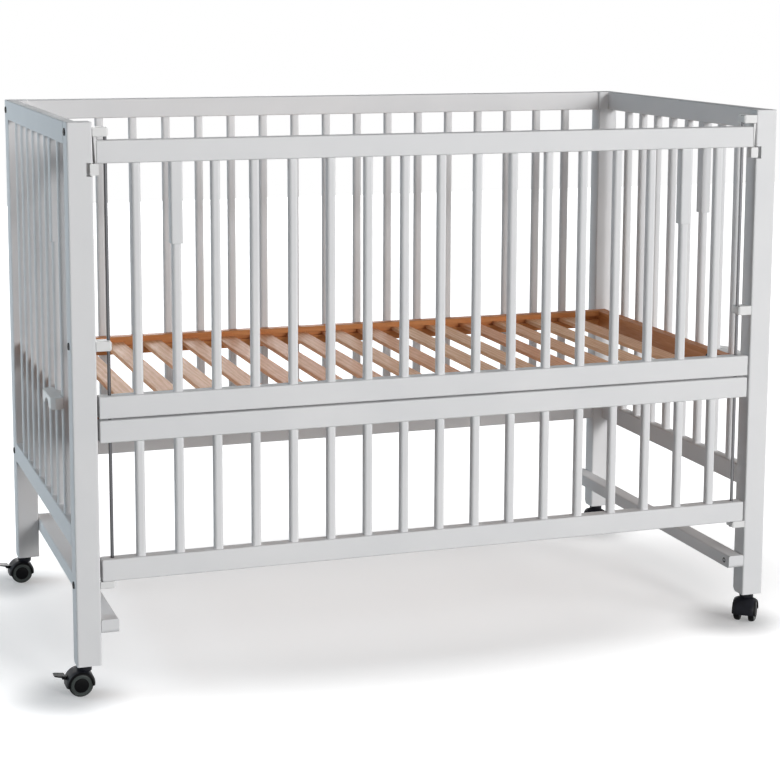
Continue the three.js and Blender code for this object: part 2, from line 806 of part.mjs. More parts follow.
// One wheel; the tread is flat and its edges are round.
function wheel() {
  const inner = wheelGap / 2;
  const outer = wheelOuter / 2;
  const reach = wheelRadius / Math.cos(Math.PI / wheelSides);
  return lathe([
    [0, inner], [reach - wheelTread, inner], [reach, inner + wheelTread], [reach, outer - wheelFaceStep],
    [reach - wheelTread, outer - wheelShoulder], [reach - wheelFaceStep, outer], [0, outer],
  ], wheelSides);
}

// Two wheels on the ends of one axle.
function castorWheels() {
  const near = wheel();
  const far = wheel().rotateZ(Math.PI);
  const half = wheelGap / 2 + axleSink;
  const axle = roundBar('y', axleRadius, -half, half, 0, 0, stemSides);
  return join(near, far, axle).translate(-castorTrail, 0, wheelRadius);
}

function addCastors() {
  for (const [sideName, side] of Object.entries(sides)) {
    for (const [rowName, row] of Object.entries(rows)) {
      const castor = new THREE.Group();
      const hasPedal = side < 0;
      castor.position.set(side * postX, row * postY, 0);
      castor.rotation.z = hasPedal ? 0 : rightCastorTurn;
      const name = `${sideName}_${rowName}`;
      place(`${name}_castor_housing`, castorHousing(hasPedal), housingPlastic, castor);
      place(`${name}_castor_wheels`, castorWheels(), tyrePlastic, castor);
      if (hasPedal) {
        place(`${name}_brake_pedal`, brakePedal(), housingPlastic, castor);
      }
      crib.add(castor);
    }
  }
}

addPosts();
addEnd('left', -1, leftEndSlipIndex);
addEnd('right', 1, rightEndSlipIndex);
addRearSide();
addUpperGate();
addLowerGate();
addRodsAndBrackets();
addLatches();
addStretchers();
addRearBolts();
addBase();
addCastors();

// The origin is on the floor, under the middle of everything.
crib.updateMatrixWorld(true);
const reachBox = new THREE.Box3().setFromObject(crib, true);
crib.position.x = -(reachBox.min.x + reachBox.max.x) / 2;
crib.position.y = -(reachBox.min.y + reachBox.max.y) / 2;

export default crib;
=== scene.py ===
# %% [markdown]
# # A bedside crib, dressed for its portrait
#
# The crib is a white painted beech frame with barred sides, a two-part front that slides on steel
# rods, a slatted base of bare beech and four twin-wheel castors. Its CAD model comes in first. It
# fixes where everything is and what moves with what. This lesson then builds the pieces again with
# the soft edges, fittings and finishes that a camera sees, and lights them like a catalogue photo.

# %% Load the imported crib
import json
import math

import bmesh
import bpy
from mathutils import Matrix, Vector


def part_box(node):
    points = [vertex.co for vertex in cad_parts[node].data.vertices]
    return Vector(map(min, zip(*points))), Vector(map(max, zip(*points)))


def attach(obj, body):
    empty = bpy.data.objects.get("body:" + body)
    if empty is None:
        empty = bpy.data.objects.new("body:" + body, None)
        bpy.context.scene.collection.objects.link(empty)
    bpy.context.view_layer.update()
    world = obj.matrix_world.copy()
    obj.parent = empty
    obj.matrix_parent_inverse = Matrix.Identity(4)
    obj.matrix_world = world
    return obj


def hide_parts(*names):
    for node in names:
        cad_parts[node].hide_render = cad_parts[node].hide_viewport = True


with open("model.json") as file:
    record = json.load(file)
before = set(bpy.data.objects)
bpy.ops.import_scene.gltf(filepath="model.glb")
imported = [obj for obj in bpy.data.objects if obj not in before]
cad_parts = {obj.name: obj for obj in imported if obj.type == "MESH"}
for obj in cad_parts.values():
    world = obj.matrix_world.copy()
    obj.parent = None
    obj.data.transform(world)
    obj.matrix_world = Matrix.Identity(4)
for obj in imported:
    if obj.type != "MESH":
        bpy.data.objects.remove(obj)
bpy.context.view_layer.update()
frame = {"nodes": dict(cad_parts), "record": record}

bodies = frame["record"]["behaviour"]["bodies"]
body_of_node = {node: body for body, nodes in bodies.items() for node in nodes}

# %% [markdown]
# ## The camera
#
# The photograph was taken from the left, a little above the top rails, from about three and a half
# metres away. Its uprights look nearly parallel, which a photographer gets by shifting the lens
# instead of tilting the camera. A strong shift would push the crib out of every other view, so this
# camera shares the work: it tilts down a little and shifts a little. Yaw, tilt and roll were found
# by matching the posts' and rails' edges.

# %% Place the camera
CAMERA_PLACE = Vector((-1.11464, -3.30797, 1.12224))
YAW, TILT, ROLL = 0.3332, 0.1474, 0.00372
LENS, LENS_SHIFT = 89.305, -0.14

ahead = Vector((math.sin(YAW) * math.cos(TILT), math.cos(YAW) * math.cos(TILT), -math.sin(TILT)))
level = Vector((math.cos(YAW), -math.sin(YAW), 0))
upward = level.cross(ahead)
right = level * math.cos(ROLL) + upward * math.sin(ROLL)
top = upward * math.cos(ROLL) - level * math.sin(ROLL)

bpy.ops.object.select_all(action="DESELECT")
bpy.ops.object.camera_add()
camera = bpy.context.object
camera.name = "portrait_camera"
camera.matrix_world = Matrix.Translation(CAMERA_PLACE) @ Matrix((right, top, -ahead)).transposed().to_4x4()
camera.data.sensor_width = 36
camera.data.lens = LENS
camera.data.shift_y = LENS_SHIFT
camera.data.clip_end = 50
bpy.context.scene.camera = camera
print("camera looks along", [round(v, 3) for v in ahead])

# %% [markdown]
# ## Tools of the workshop
#
# Nearly everything here starts as a sawn block or a round bar. A few small helpers do what a maker
# does at the bench: saw a block, mark some edges, round them, and copy the part. Blender's operators
# work on whatever is selected, so each helper first clears the selection, and then marks edges or
# faces by where they lie or which way they face.

# %% Saw a block, or cut a round bar to length
MM = 0.001
X, Y, Z = range(3)


def clear():
    bpy.ops.object.select_all(action="DESELECT")


def pick_up(piece):
    clear()
    piece.select_set(True)
    bpy.context.view_layer.objects.active = piece


def settle(name):
    """Names the newest piece and moves its place from the object into the mesh."""
    piece = bpy.context.object
    piece.name = name
    bpy.ops.object.transform_apply(location=True, rotation=True, scale=True)
    return piece


def saw_block(name, corner, far_corner):
    low = Vector([min(pair) for pair in zip(corner, far_corner)])
    high = Vector([max(pair) for pair in zip(corner, far_corner)])
    clear()
    bpy.ops.mesh.primitive_cube_add(size=1, location=(low + high) / 2, scale=high - low)
    return settle(name)


def round_bar(name, axis, radius, length, middle, sides):
    quarter = math.radians(90)
    turned = {X: (0, quarter, 0), Y: (quarter, 0, 0), Z: (0, 0, 0)}[axis]
    clear()
    bpy.ops.mesh.primitive_cylinder_add(
        vertices=sides, radius=radius, depth=length, location=middle, rotation=turned)
    return settle(name)


# %% Mark parts of a piece in edit mode
def mark(piece, kind, wanted):
    """Opens a piece in edit mode and selects what passes the test."""
    pick_up(piece)
    bpy.ops.object.mode_set(mode="EDIT")
    bpy.ops.mesh.select_mode(type=kind)
    bpy.ops.mesh.select_all(action="DESELECT")
    shape = bmesh.from_edit_mesh(piece.data)
    for item in {"VERT": shape.verts, "EDGE": shape.edges, "FACE": shape.faces}[kind]:
        if kind == "VERT":
            chosen = wanted(item.co)
        elif kind == "EDGE":
            chosen = wanted(item.verts[0].co, item.verts[1].co)
        else:
            chosen = wanted(item.calc_center_median(), item.normal)
        item.select_set(bool(chosen))
    shape.select_flush_mode()
    bmesh.update_edit_mesh(piece.data)


def back_to_bench():
    bpy.ops.object.mode_set(mode="OBJECT")


# %% Tests that name edges and faces by their direction or side
def runs_along(axis, longer_than=0.0):
    return lambda a, b: abs((b - a)[axis]) > max(0.99 * (b - a).length, longer_than)


def near(value, target, slack=0.2 * MM):
    return abs(value - target) < slack


def lies_at(axis, place):
    return lambda a, b: near(a[axis], place) and near(b[axis], place)


def both(first, second):
    return lambda a, b: first(a, b) and second(a, b)


def faces(axis, way):
    return lambda centre, normal: normal[axis] * way > 0.9


def anything(*where):
    return True


# %% Shape what is marked
def round_edges(piece, radius, steps, wanted):
    """One step gives a flat chamfer, more steps a round."""
    mark(piece, "EDGE", wanted)
    bpy.ops.mesh.bevel(offset=radius, segments=steps, profile=0.5, affect="EDGES")
    back_to_bench()


def inset_and_push(piece, wanted, margin, push):
    mark(piece, "FACE", wanted)
    bpy.ops.mesh.inset(thickness=margin)
    bpy.ops.mesh.extrude_region_move(TRANSFORM_OT_translate={"value": push})
    back_to_bench()


def shift_points(piece, wanted, step):
    mark(piece, "VERT", wanted)
    bpy.ops.transform.translate(value=step)
    back_to_bench()


# %% Cut with another solid, and smooth
def cut_away(piece, cutter):
    pick_up(piece)
    bpy.ops.object.modifier_add(type="BOOLEAN")
    piece.modifiers[-1].operation = "DIFFERENCE"
    piece.modifiers[-1].solver = "EXACT"
    piece.modifiers[-1].object = cutter
    bpy.ops.object.modifier_apply(modifier=piece.modifiers[-1].name)
    bpy.data.objects.remove(cutter)


def smooth(piece, degrees=35):
    """Soft shading on the rounds, flat shading on the flats."""
    pick_up(piece)
    bpy.ops.object.shade_smooth_by_angle(angle=math.radians(degrees))
    bpy.ops.object.modifier_add(type="WEIGHTED_NORMAL")
    piece.modifiers[-1].keep_sharp = True
    bpy.ops.object.modifier_apply(modifier=piece.modifiers[-1].name)


# %% Copy, glue together, and hang on the crib
def copy_piece(piece, name, matrix):
    """A copy with its own mesh, moved in the mesh so that the object stays at the origin."""
    twin = piece.copy()
    twin.data = piece.data.copy()
    twin.data.transform(matrix)
    twin.name = name
    bpy.context.collection.objects.link(twin)
    return twin


def glue(name, *pieces):
    pick_up(pieces[0])
    for piece in pieces[1:]:
        piece.select_set(True)
    bpy.ops.object.join()
    pieces[0].name = name
    return pieces[0]


def give_finishes(piece, *finishes):
    """Each face keeps its choice among them, which clearing would otherwise reset."""
    chosen = [face.material_index for face in piece.data.polygons]
    piece.data.materials.clear()
    for finish in finishes:
        piece.data.materials.append(finish)
    piece.data.polygons.foreach_set("material_index", chosen)


def hang(piece, node, *finishes):
    """The piece takes a CAD node's place and body, and gets its finishes."""
    give_finishes(piece, *finishes)
    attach(piece, body_of_node[node])
    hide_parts(node)


# %% Measure the CAD model
OUTWARD = {"left": -1, "right": 1}
CORNERS = [(side, row) for side in OUTWARD for row in ("front", "rear")]
LOOSE_BARS = [f"{side}_{where}" for side in OUTWARD for where in ("gate", "end")]


def middle_of(node):
    low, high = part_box(node)
    return (low + high) / 2


def inner_face(node, side):
    """X of the face that looks towards the crib's middle."""
    low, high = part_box(node)
    return high.x if side == "left" else low.x


print("the left post's inner face is at", round(inner_face("left_front_post", "left"), 4))

# %% [markdown]
# ## Node groups for finishes
#
# Sprayed paint, moulded plastic, zinc and wood all vary a little from place to place. Each group
# below makes one such effect from noise on Object coordinates, so that it stays on the piece from
# any side. Several materials share them with their own values, which is why they are groups: a
# better noise is then made once and reaches every finish.

# %% Helpers to wire nodes
def add_node(tree, kind, column, row, **settings):
    made = tree.nodes.new(kind)
    made.location = (220 * column, -180 * row)
    for name, value in settings.items():
        setattr(made, name, value)
    return made


def dial(node, **values):
    """Sets a node's inputs by name; an underscore stands for a space."""
    for name, value in values.items():
        node.inputs[name.replace("_", " ")].default_value = value


def connect(tree, *pairs):
    for source, target in pairs:
        tree.links.new(source, target)


def new_group(name, takes, gives):
    tree = bpy.data.node_groups.new(name, "ShaderNodeTree")
    for label, kind, value in takes:
        socket = tree.interface.new_socket(label, in_out="INPUT", socket_type=kind)
        if value is not None:
            socket.default_value = value
    for label in gives:
        tree.interface.new_socket(label, in_out="OUTPUT", socket_type="NodeSocketFloat")
    return tree, add_node(tree, "NodeGroupInput", -4, 0), add_node(tree, "NodeGroupOutput", 4, 0)


# %% Group: cloudy and fine variation, for paint and plastic
surface_group, given, result = new_group(
    "Sprayed or moulded surface",
    [("Vector", "NodeSocketVector", None), ("Cloud Scale", "NodeSocketFloat", 6.0),
     ("Grit Scale", "NodeSocketFloat", 900.0)],
    ["Clouds", "Grit"])
clouds = add_node(surface_group, "ShaderNodeTexNoise", -1, 0)
dial(clouds, Detail=3)
grit = add_node(surface_group, "ShaderNodeTexNoise", -1, 2)
dial(grit, Detail=2, Roughness=0.6)
connect(surface_group,
        (given.outputs["Vector"], clouds.inputs["Vector"]),
        (given.outputs["Cloud Scale"], clouds.inputs["Scale"]),
        (given.outputs["Vector"], grit.inputs["Vector"]),
        (given.outputs["Grit Scale"], grit.inputs["Scale"]),
        (clouds.outputs["Fac"], result.inputs["Clouds"]),
        (grit.outputs["Fac"], result.inputs["Grit"]))
print("surface group has", len(surface_group.nodes), "nodes")

# %% [markdown]
# Wood needs more. Each slat was sawn from another board, so each has its own tone and its own
# figure. The group divides the place across the grain by a board's width and rounds it, which gives
# every board a number. White noise turns that number into a tone, and slides the figure along.

# %% Group: the boards of beech, with the grain along the mapped X axis
FIGURE_SHIFT = 7.3
grain_group, given, result = new_group(
    "Beech grain",
    [("Vector", "NodeSocketVector", None), ("Board Width", "NodeSocketFloat", 0.0725)],
    ["Figure", "Flecks", "Board Tone"])
split = add_node(grain_group, "ShaderNodeSeparateXYZ", -3, 0)
across = add_node(grain_group, "ShaderNodeMath", -2, 1, operation="DIVIDE")
board = add_node(grain_group, "ShaderNodeMath", -1, 1, operation="ROUND")
tone = add_node(grain_group, "ShaderNodeTexWhiteNoise", 0, 1, noise_dimensions="1D")
offset = add_node(grain_group, "ShaderNodeMath", 0, 2, operation="MULTIPLY")
offset.inputs[1].default_value = FIGURE_SHIFT
moved = add_node(grain_group, "ShaderNodeCombineXYZ", 1, 2)
connect(grain_group,
        (given.outputs["Vector"], split.inputs["Vector"]),
        (split.outputs["Y"], across.inputs[0]),
        (given.outputs["Board Width"], across.inputs[1]),
        (across.outputs[0], board.inputs[0]),
        (board.outputs[0], tone.inputs["W"]),
        (tone.outputs["Value"], offset.inputs[0]),
        (offset.outputs[0], moved.inputs["X"]),
        (tone.outputs["Value"], result.inputs["Board Tone"]))

# %% The figure and flecks within a board
slide = add_node(grain_group, "ShaderNodeVectorMath", 1, 0, operation="ADD")
stretch = add_node(grain_group, "ShaderNodeMapping", 2, 0)
dial(stretch, Scale=(0.07, 1, 1))
figure = add_node(grain_group, "ShaderNodeTexWave", 2, 1, wave_type="BANDS", bands_direction="Y")
dial(figure, Scale=34, Distortion=7, Detail=3, Detail_Scale=1.6)
flecks = add_node(grain_group, "ShaderNodeTexNoise", 2, 2)
dial(flecks, Scale=420, Detail=3)
connect(grain_group,
        (given.outputs["Vector"], slide.inputs[0]),
        (moved.outputs["Vector"], slide.inputs[1]),
        (slide.outputs["Vector"], stretch.inputs["Vector"]),
        (stretch.outputs["Vector"], figure.inputs["Vector"]),
        (stretch.outputs["Vector"], flecks.inputs["Vector"]),
        (figure.outputs["Fac"], result.inputs["Figure"]),
        (flecks.outputs["Fac"], result.inputs["Flecks"]))
print("groups:", [group.name for group in bpy.data.node_groups])

# %% [markdown]
# ## Finishes
#
# The crib wears white satin paint with a cool, slightly grey cast. Its base is bare beech under thin
# lacquer. The fittings are white moulded plastic, the guide rods dark zinc, the bolts blackened
# steel, and the castors black plastic with grey rings. Each finish mixes two close colours by the
# cloudy noise, varies its roughness a little, and gets a very fine bump. Paint on wood is open and
# dull, so it mirrors far less of the white room than the plastic does.

# %% Start a material with its shader and Object coordinates
def new_finish(name, turn=(0, 0, 0)):
    finish = bpy.data.materials.new(name)
    finish.use_nodes = True
    tree = finish.node_tree
    place = add_node(tree, "ShaderNodeTexCoord", -6, 0)
    mapping = add_node(tree, "ShaderNodeMapping", -5, 0)
    dial(mapping, Rotation=turn)
    connect(tree, (place.outputs["Object"], mapping.inputs["Vector"]))
    return finish, tree, tree.nodes["Principled BSDF"], mapping


def mix_colours(tree, factor, first, second, column, row):
    mix = add_node(tree, "ShaderNodeMix", column, row, data_type="RGBA")
    dial(mix, A=(*first, 1), B=(*second, 1))
    connect(tree, (factor, mix.inputs["Factor"]))
    return mix.outputs["Result"]


def tint(tree, factor, colour, shade, column):
    """Multiplies a colour by a shade, as far as the factor says."""
    mix = add_node(tree, "ShaderNodeMix", column, 0, data_type="RGBA", blend_type="MULTIPLY")
    dial(mix, B=(*shade, 1))
    connect(tree, (factor, mix.inputs["Factor"]), (colour, mix.inputs["A"]))
    return mix.outputs["Result"]


def span(tree, value, low, high, column, row):
    """Turns a noise value into a number between low and high."""
    fitted = add_node(tree, "ShaderNodeMapRange", column, row)
    dial(fitted, From_Min=0.3, From_Max=0.7, To_Min=low, To_Max=high)
    connect(tree, (value, fitted.inputs["Value"]))
    return fitted.outputs["Result"]


def fine_bump(tree, shader, height, strength, distance, row):
    relief = add_node(tree, "ShaderNodeBump", -2, row)
    dial(relief, Strength=strength, Distance=distance)
    connect(tree, (height, relief.inputs["Height"]), (relief.outputs["Normal"], shader.inputs["Normal"]))


# %% A finish for anything sprayed or moulded
def plain_finish(name, first, second, rough, grit_scale, bump, mirror=0.5, metal=0.0, clouds_scale=6.0,
                 stretch=(1, 1, 1)):
    finish, tree, shader, mapping = new_finish(name)
    dial(mapping, Scale=stretch)
    dial(shader, Specular_IOR_Level=mirror, Metallic=metal)
    surface = add_node(tree, "ShaderNodeGroup", -4, 0, node_tree=surface_group)
    dial(surface, Cloud_Scale=clouds_scale, Grit_Scale=grit_scale)
    connect(tree, (mapping.outputs["Vector"], surface.inputs["Vector"]))
    mask = span(tree, surface.outputs["Clouds"], 0, 1, -3, 0)
    connect(tree, (mix_colours(tree, mask, first, second, -2, 0), shader.inputs["Base Color"]),
            (span(tree, surface.outputs["Clouds"], *rough, -3, 1), shader.inputs["Roughness"]))
    fine_bump(tree, shader, surface.outputs["Grit"], bump, 0.1 * MM, 2)
    return finish


# %% Paint and metals
paint = plain_finish(
    "white_satin_paint", (0.73, 0.735, 0.745), (0.78, 0.78, 0.785), (0.58, 0.68), 700, 0.25, mirror=0.05)
zinc = plain_finish(
    "dark_zinc_rod", (0.09, 0.09, 0.095), (0.16, 0.16, 0.165), (0.28, 0.42), 500, 0.3, metal=1,
    stretch=(1, 1, 0.04))
blackened = plain_finish(
    "blackened_bolt_steel", (0.02, 0.02, 0.022), (0.038, 0.038, 0.04), (0.38, 0.52), 1800, 0.3, mirror=0.25,
    metal=0.6, clouds_scale=90)
wire = plain_finish(
    "drawn_spring_wire", (0.42, 0.42, 0.44), (0.55, 0.55, 0.57), (0.25, 0.4), 1500, 0.3, metal=1,
    clouds_scale=120)
print(len(bpy.data.materials), "finishes so far")

# %% Plastics
moulded_white = plain_finish(
    "white_moulded_plastic", (0.74, 0.74, 0.735), (0.79, 0.79, 0.785), (0.42, 0.5), 1600, 0.15, mirror=0.3)
castor_black = plain_finish(
    "castor_black_plastic", (0.002, 0.002, 0.0022), (0.004, 0.004, 0.0045), (0.34, 0.44), 1500, 0.4,
    mirror=0.06, clouds_scale=60)
castor_tread = plain_finish(
    "castor_tread_plastic", (0.003, 0.003, 0.0033), (0.006, 0.006, 0.0066), (0.45, 0.6), 1200, 0.6,
    mirror=0.06, clouds_scale=60)
castor_grey = plain_finish(
    "castor_grey_ring", (0.026, 0.032, 0.03), (0.042, 0.05, 0.047), (0.3, 0.4), 1500, 0.4,
    mirror=0.25, clouds_scale=60)
# the hood's outer band: its bluish tint is a painted sheen, a reflection of the window's cool light
castor_hood_painted_sheen = plain_finish(
    "castor_hood_with_painted_sheen", (0.005, 0.0053, 0.0075), (0.01, 0.0106, 0.015), (0.4, 0.5), 1500, 0.4,
    mirror=0.13, clouds_scale=60)
print(len(bpy.data.materials), "with the plastics")


# %% Beech, with the grain turned to the board
FIGURE_SHADE, FLECK_SHADE = (0.86, 0.76, 0.64), (0.78, 0.66, 0.55)


def beech_finish(name, turn, board_width, dark_board, light_board):
    finish, tree, shader, mapping = new_finish(name, turn)
    dial(shader, Specular_IOR_Level=0.25)
    grain = add_node(tree, "ShaderNodeGroup", -4, 0, node_tree=grain_group)
    dial(grain, Board_Width=board_width)
    connect(tree, (mapping.outputs["Vector"], grain.inputs["Vector"]))
    colour = mix_colours(tree, grain.outputs["Board Tone"], dark_board, light_board, -3, 0)
    colour = tint(tree, grain.outputs["Figure"], colour, FIGURE_SHADE, -2)
    fleck_mask = span(tree, grain.outputs["Flecks"], 0.5, 0, -2, 2)
    colour = tint(tree, fleck_mask, colour, FLECK_SHADE, -1)
    connect(tree, (colour, shader.inputs["Base Color"]),
            (span(tree, grain.outputs["Flecks"], 0.6, 0.45, -2, 3), shader.inputs["Roughness"]))
    fine_bump(tree, shader, grain.outputs["Flecks"], 0.3, 0.2 * MM, 4)
    return finish


SLAT_PITCH = 72.5 * MM
WHOLE_BOARD = 300 * MM  # wide enough for a rail to be one board
CROSSWISE = (0, 0, math.radians(90))
beech_along = beech_finish(
    "beech_along_the_crib", (0, 0, 0), WHOLE_BOARD, (0.56, 0.22, 0.07), (0.62, 0.27, 0.1))
beech_across = beech_finish(
    "beech_across_the_crib", CROSSWISE, SLAT_PITCH, (0.76, 0.35, 0.165), (0.9, 0.56, 0.34))
beech_end = beech_finish(
    "beech_of_the_end_rails", CROSSWISE, WHOLE_BOARD, (0.54, 0.2, 0.065), (0.6, 0.25, 0.09))
print("finishes:", [material.name for material in bpy.data.materials])

# %% [markdown]
# ## Posts
#
# Four square posts carry everything. A machined post has softly rounded edges all round, and the
# foot's rear corner is cut off at a slant. A block with rounded edges gives that, and the cut comes
# first so that its own edges are rounded too. The front posts also have a pocket for the latch's
# hook, taken out with a second block that reaches past the faces it opens.

# %% One post
POST_ROUND = 3 * MM
POST_TOP_ROUND = 1.2 * MM
FOOT_CUT = 8 * MM


def make_post(node):
    low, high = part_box(node)
    post = saw_block(node + "_turned", low, high)
    round_edges(post, FOOT_CUT, 1, both(lies_at(Y, high.y), lies_at(Z, low.z)))
    round_edges(post, POST_ROUND, 5, runs_along(Z, longer_than=100 * MM))
    round_edges(post, POST_TOP_ROUND, 3, lies_at(Z, high.z))
    return post


# %% The pocket for the latch's hook
POCKET_DEPTH, POCKET_WIDTH = 10.2 * MM, 24 * MM
POCKET_BELOW_HOOK, POCKET_OVER_HOOK = 1.5 * MM, 19.7 * MM
OVERRUN = 2 * MM


def cut_pocket(post, side, way):
    inner, front = inner_face(f"{side}_front_post", side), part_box(f"{side}_front_post")[0].y
    hook_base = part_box(f"{side}_latch")[0].z
    cut_away(post, saw_block(
        "pocket", (inner + way * POCKET_DEPTH, front - OVERRUN, hook_base - POCKET_BELOW_HOOK),
        (inner - way * OVERRUN, front + POCKET_WIDTH, hook_base + POCKET_OVER_HOOK)))


# %% All four posts
for side, row in CORNERS:
    node = f"{side}_{row}_post"
    post = make_post(node)
    if row == "front":
        cut_pocket(post, side, OUTWARD[side])
    smooth(post)
    hang(post, node, paint)
    print(post.name, "has", len(post.data.polygons), "faces")

# %% [markdown]
# ## Barred sides
#
# Each side is a ladder: two rails with bars glued into them. The rails are planed boards with
# slightly rounded edges. The bars are square rods whose edges are rounded much more, so that they
# catch the light like a soft tube. One bar is modelled, then copied along the rail. A few bars can
# be lifted out: their places stay empty here, and the lower rail gets a hole for each one's peg. It
# is drilled before the glue, because a cutter leaves only clean, single solids whole.

# %% Rails and bars
BAR = 15 * MM
BAR_ROUND = 5 * MM
RAIL_HEIGHT = 36 * MM
RAIL_ROUND = 2.5 * MM
TENON = 3 * MM


def make_rail(name, low, high, axis, end_round=0.0):
    rail = saw_block(name, low, high)
    round_edges(rail, RAIL_ROUND, 4, runs_along(axis))
    if end_round:
        for end in (low[axis], high[axis]):
            round_edges(rail, end_round, 2, lies_at(axis, end))
    return rail


def make_bar(name, x, y, low, high):
    bar = saw_block(name, (x - BAR / 2, y - BAR / 2, low), (x + BAR / 2, y + BAR / 2, high))
    round_edges(bar, BAR_ROUND, 6, runs_along(Z))
    return bar


def spread(count, low, high, margin):
    pitch = (high - low - 2 * margin) / (count - 1)
    return [low + margin + index * pitch for index in range(count)]


# %% The peg holes under the slip bars
PEG_RADIUS = 4 * MM
PEG_PLAY = 0.1 * MM
PEG_HOLE = 20 * MM
PEG_HOLE_MIDDLE = 9.7 * MM  # above the peg's foot, so that the drill comes out on top of the rail


def drill_peg_hole(rail, slip_bar):
    middle, foot = middle_of(slip_bar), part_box(slip_bar)[0].z
    drill = round_bar("drill", Z, PEG_RADIUS + PEG_PLAY, PEG_HOLE,
                      (middle.x, middle.y, foot + PEG_HOLE_MIDDLE), 24)
    cut_away(rail, drill)


# %% A whole side
def make_side(node, axis, count, margin, slip_bars=(), end_round=0.0, reaches=(0, 0)):
    """Two rails and the bars between them; axis is the rails' own direction."""
    low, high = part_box(node)
    middle = (low + high) / 2
    rails = []
    for name, base, reach in (("bottom", low.z, reaches[0]), ("top", high.z - RAIL_HEIGHT, reaches[1])):
        ends = Vector((reach, 0, 0))
        rails.append(make_rail(f"{node}_{name}", Vector((low.x, low.y, base)) - ends,
                               Vector((high.x, high.y, base + RAIL_HEIGHT)) + ends, axis, end_round))
    for slip_bar in slip_bars:
        drill_peg_hole(rails[0], slip_bar)
    left_out = [middle_of(slip_bar)[axis] for slip_bar in slip_bars]
    places = [place for place in spread(count, low[axis], high[axis], margin)
              if not any(near(place, spot, BAR / 3) for spot in left_out)]
    foot, head = low.z + RAIL_HEIGHT - TENON, high.z - RAIL_HEIGHT + TENON
    at = (places[0], middle.y) if axis == X else (middle.x, places[0])
    first = make_bar(node + "_bar", *at, foot, head)
    step = Vector((1, 0, 0)) if axis == X else Vector((0, 1, 0))
    others = [copy_piece(first, "bar", Matrix.Translation(step * (place - places[0])))
              for place in places[1:]]
    ladder = glue(node + "_ladder", *rails, first, *others)
    smooth(ladder)
    hang(ladder, node, paint)
    print(ladder.name, "has", len(places), "bars")


# %% The two ends, the rear side and the two gates
END_BARS, LONG_BARS = 8, 17
END_MARGIN, REAR_MARGIN, GATE_MARGIN = 78 * MM, 68.5 * MM, 62.6 * MM
GATE_REACH = 2.6 * MM
for side in OUTWARD:
    make_side(f"{side}_end_panel", Y, END_BARS, END_MARGIN, [f"{side}_end_slip_bar"])
make_side("rear_panel", X, LONG_BARS, REAR_MARGIN)
make_side("upper_gate_panel", X, LONG_BARS, GATE_MARGIN, ["left_gate_slip_bar", "right_gate_slip_bar"],
          end_round=1.5 * MM, reaches=(GATE_REACH, 0))
make_side("lower_gate_panel", X, LONG_BARS, GATE_MARGIN, end_round=2.2 * MM, reaches=(GATE_REACH, GATE_REACH))

# %% [markdown]
# ## Slip bars and their sleeves
#
# Four bars can be lifted out so that an older child can climb through. Each stands on a peg and its
# top hides in a square sleeve with a spring. The sleeve could be cut out with a second block. Here
# its lower face is inset and pushed up into it, which gives an even wall from one piece.

# %% Sleeves
SLEEVE_WALL, SLEEVE_TOP = 2.1 * MM, 0.3 * MM
SLEEVE_ROUND, MOUTH_ROUND = 3 * MM, 0.6 * MM


def make_sleeve(node):
    low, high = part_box(node)
    sleeve = saw_block(node + "_tube", low, high)
    inset_and_push(sleeve, faces(Z, -1), SLEEVE_WALL, (0, 0, high.z - low.z - SLEEVE_TOP))
    outer = both(runs_along(Z), lambda a, b: near(a.x, low.x) or near(a.x, high.x))
    round_edges(sleeve, SLEEVE_ROUND, 4, outer)
    round_edges(sleeve, MOUTH_ROUND, 2, lies_at(Z, low.z))
    smooth(sleeve)
    hang(sleeve, node, paint)
    print(sleeve.name, "is", round((high.z - low.z) / MM), "mm long")


for place in LOOSE_BARS:
    make_sleeve(place + "_sleeve")

# %% [markdown]
# The slip bar is a bar like the others, with a hole in its top for the spring and a round peg in its
# foot. The peg's lower edge is softened, so that it finds its hole in the rail.

# %% Slip bars
PEG, PEG_TIP_ROUND = 11 * MM, 0.8 * MM
SHOULDER = 10 * MM
SPRING_HOLE_RADIUS, SPRING_HOLE, SPRING_HOLE_MIDDLE = 4.6 * MM, 31.2 * MM, 13.6 * MM


def make_slip_bar(node):
    low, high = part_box(node)
    x, y = ((low + high) / 2).xy
    bar = make_bar(node + "_rod", x, y, low.z + SHOULDER, high.z)
    drill = round_bar("drill", Z, SPRING_HOLE_RADIUS, SPRING_HOLE, (x, y, high.z - SPRING_HOLE_MIDDLE), 24)
    cut_away(bar, drill)
    peg = round_bar("peg", Z, PEG_RADIUS, PEG, (x, y, low.z + PEG / 2), 24)
    round_edges(peg, PEG_TIP_ROUND, 2, lies_at(Z, low.z))
    bar = glue(node + "_rod", bar, peg)
    smooth(bar)
    hang(bar, node, paint)
    print(bar.name, "stands at", [round(v, 3) for v in (x, y)])


for place in LOOSE_BARS:
    make_slip_bar(place + "_slip_bar")
    # the CAD model's own spring is fine enough, and only gets its finish
    give_finishes(frame["nodes"][place + "_slip_spring"], wire)

# %% [markdown]
# ## Guide rods, brackets and latches
#
# The gates ride on two dark steel rods near the posts. White plastic brackets, bolted to the posts,
# hold the rods at the top, in the middle and at the foot. They are plain blocks with a well rounded
# free end. A springy strip hangs from each top bracket, and the hook at its end carries the upper
# gate's top rail. The strip gets thinner towards the hook, which leaves it room to swing.

# %% Guide rods
ROD_RADIUS, ROD_TIP_ROUND = 2.75 * MM, 0.5 * MM
for side in OUTWARD:
    low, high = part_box(f"{side}_guide_rod")
    rod = round_bar(f"{side}_round_rod", Z, ROD_RADIUS, high.z - low.z, (low + high) / 2, 32)
    round_edges(rod, ROD_TIP_ROUND, 2, lambda a, b: near(a.z, b.z))
    smooth(rod)
    hang(rod, f"{side}_guide_rod", zinc)
print("the rods are", round((high.z - low.z) / MM), "mm long")

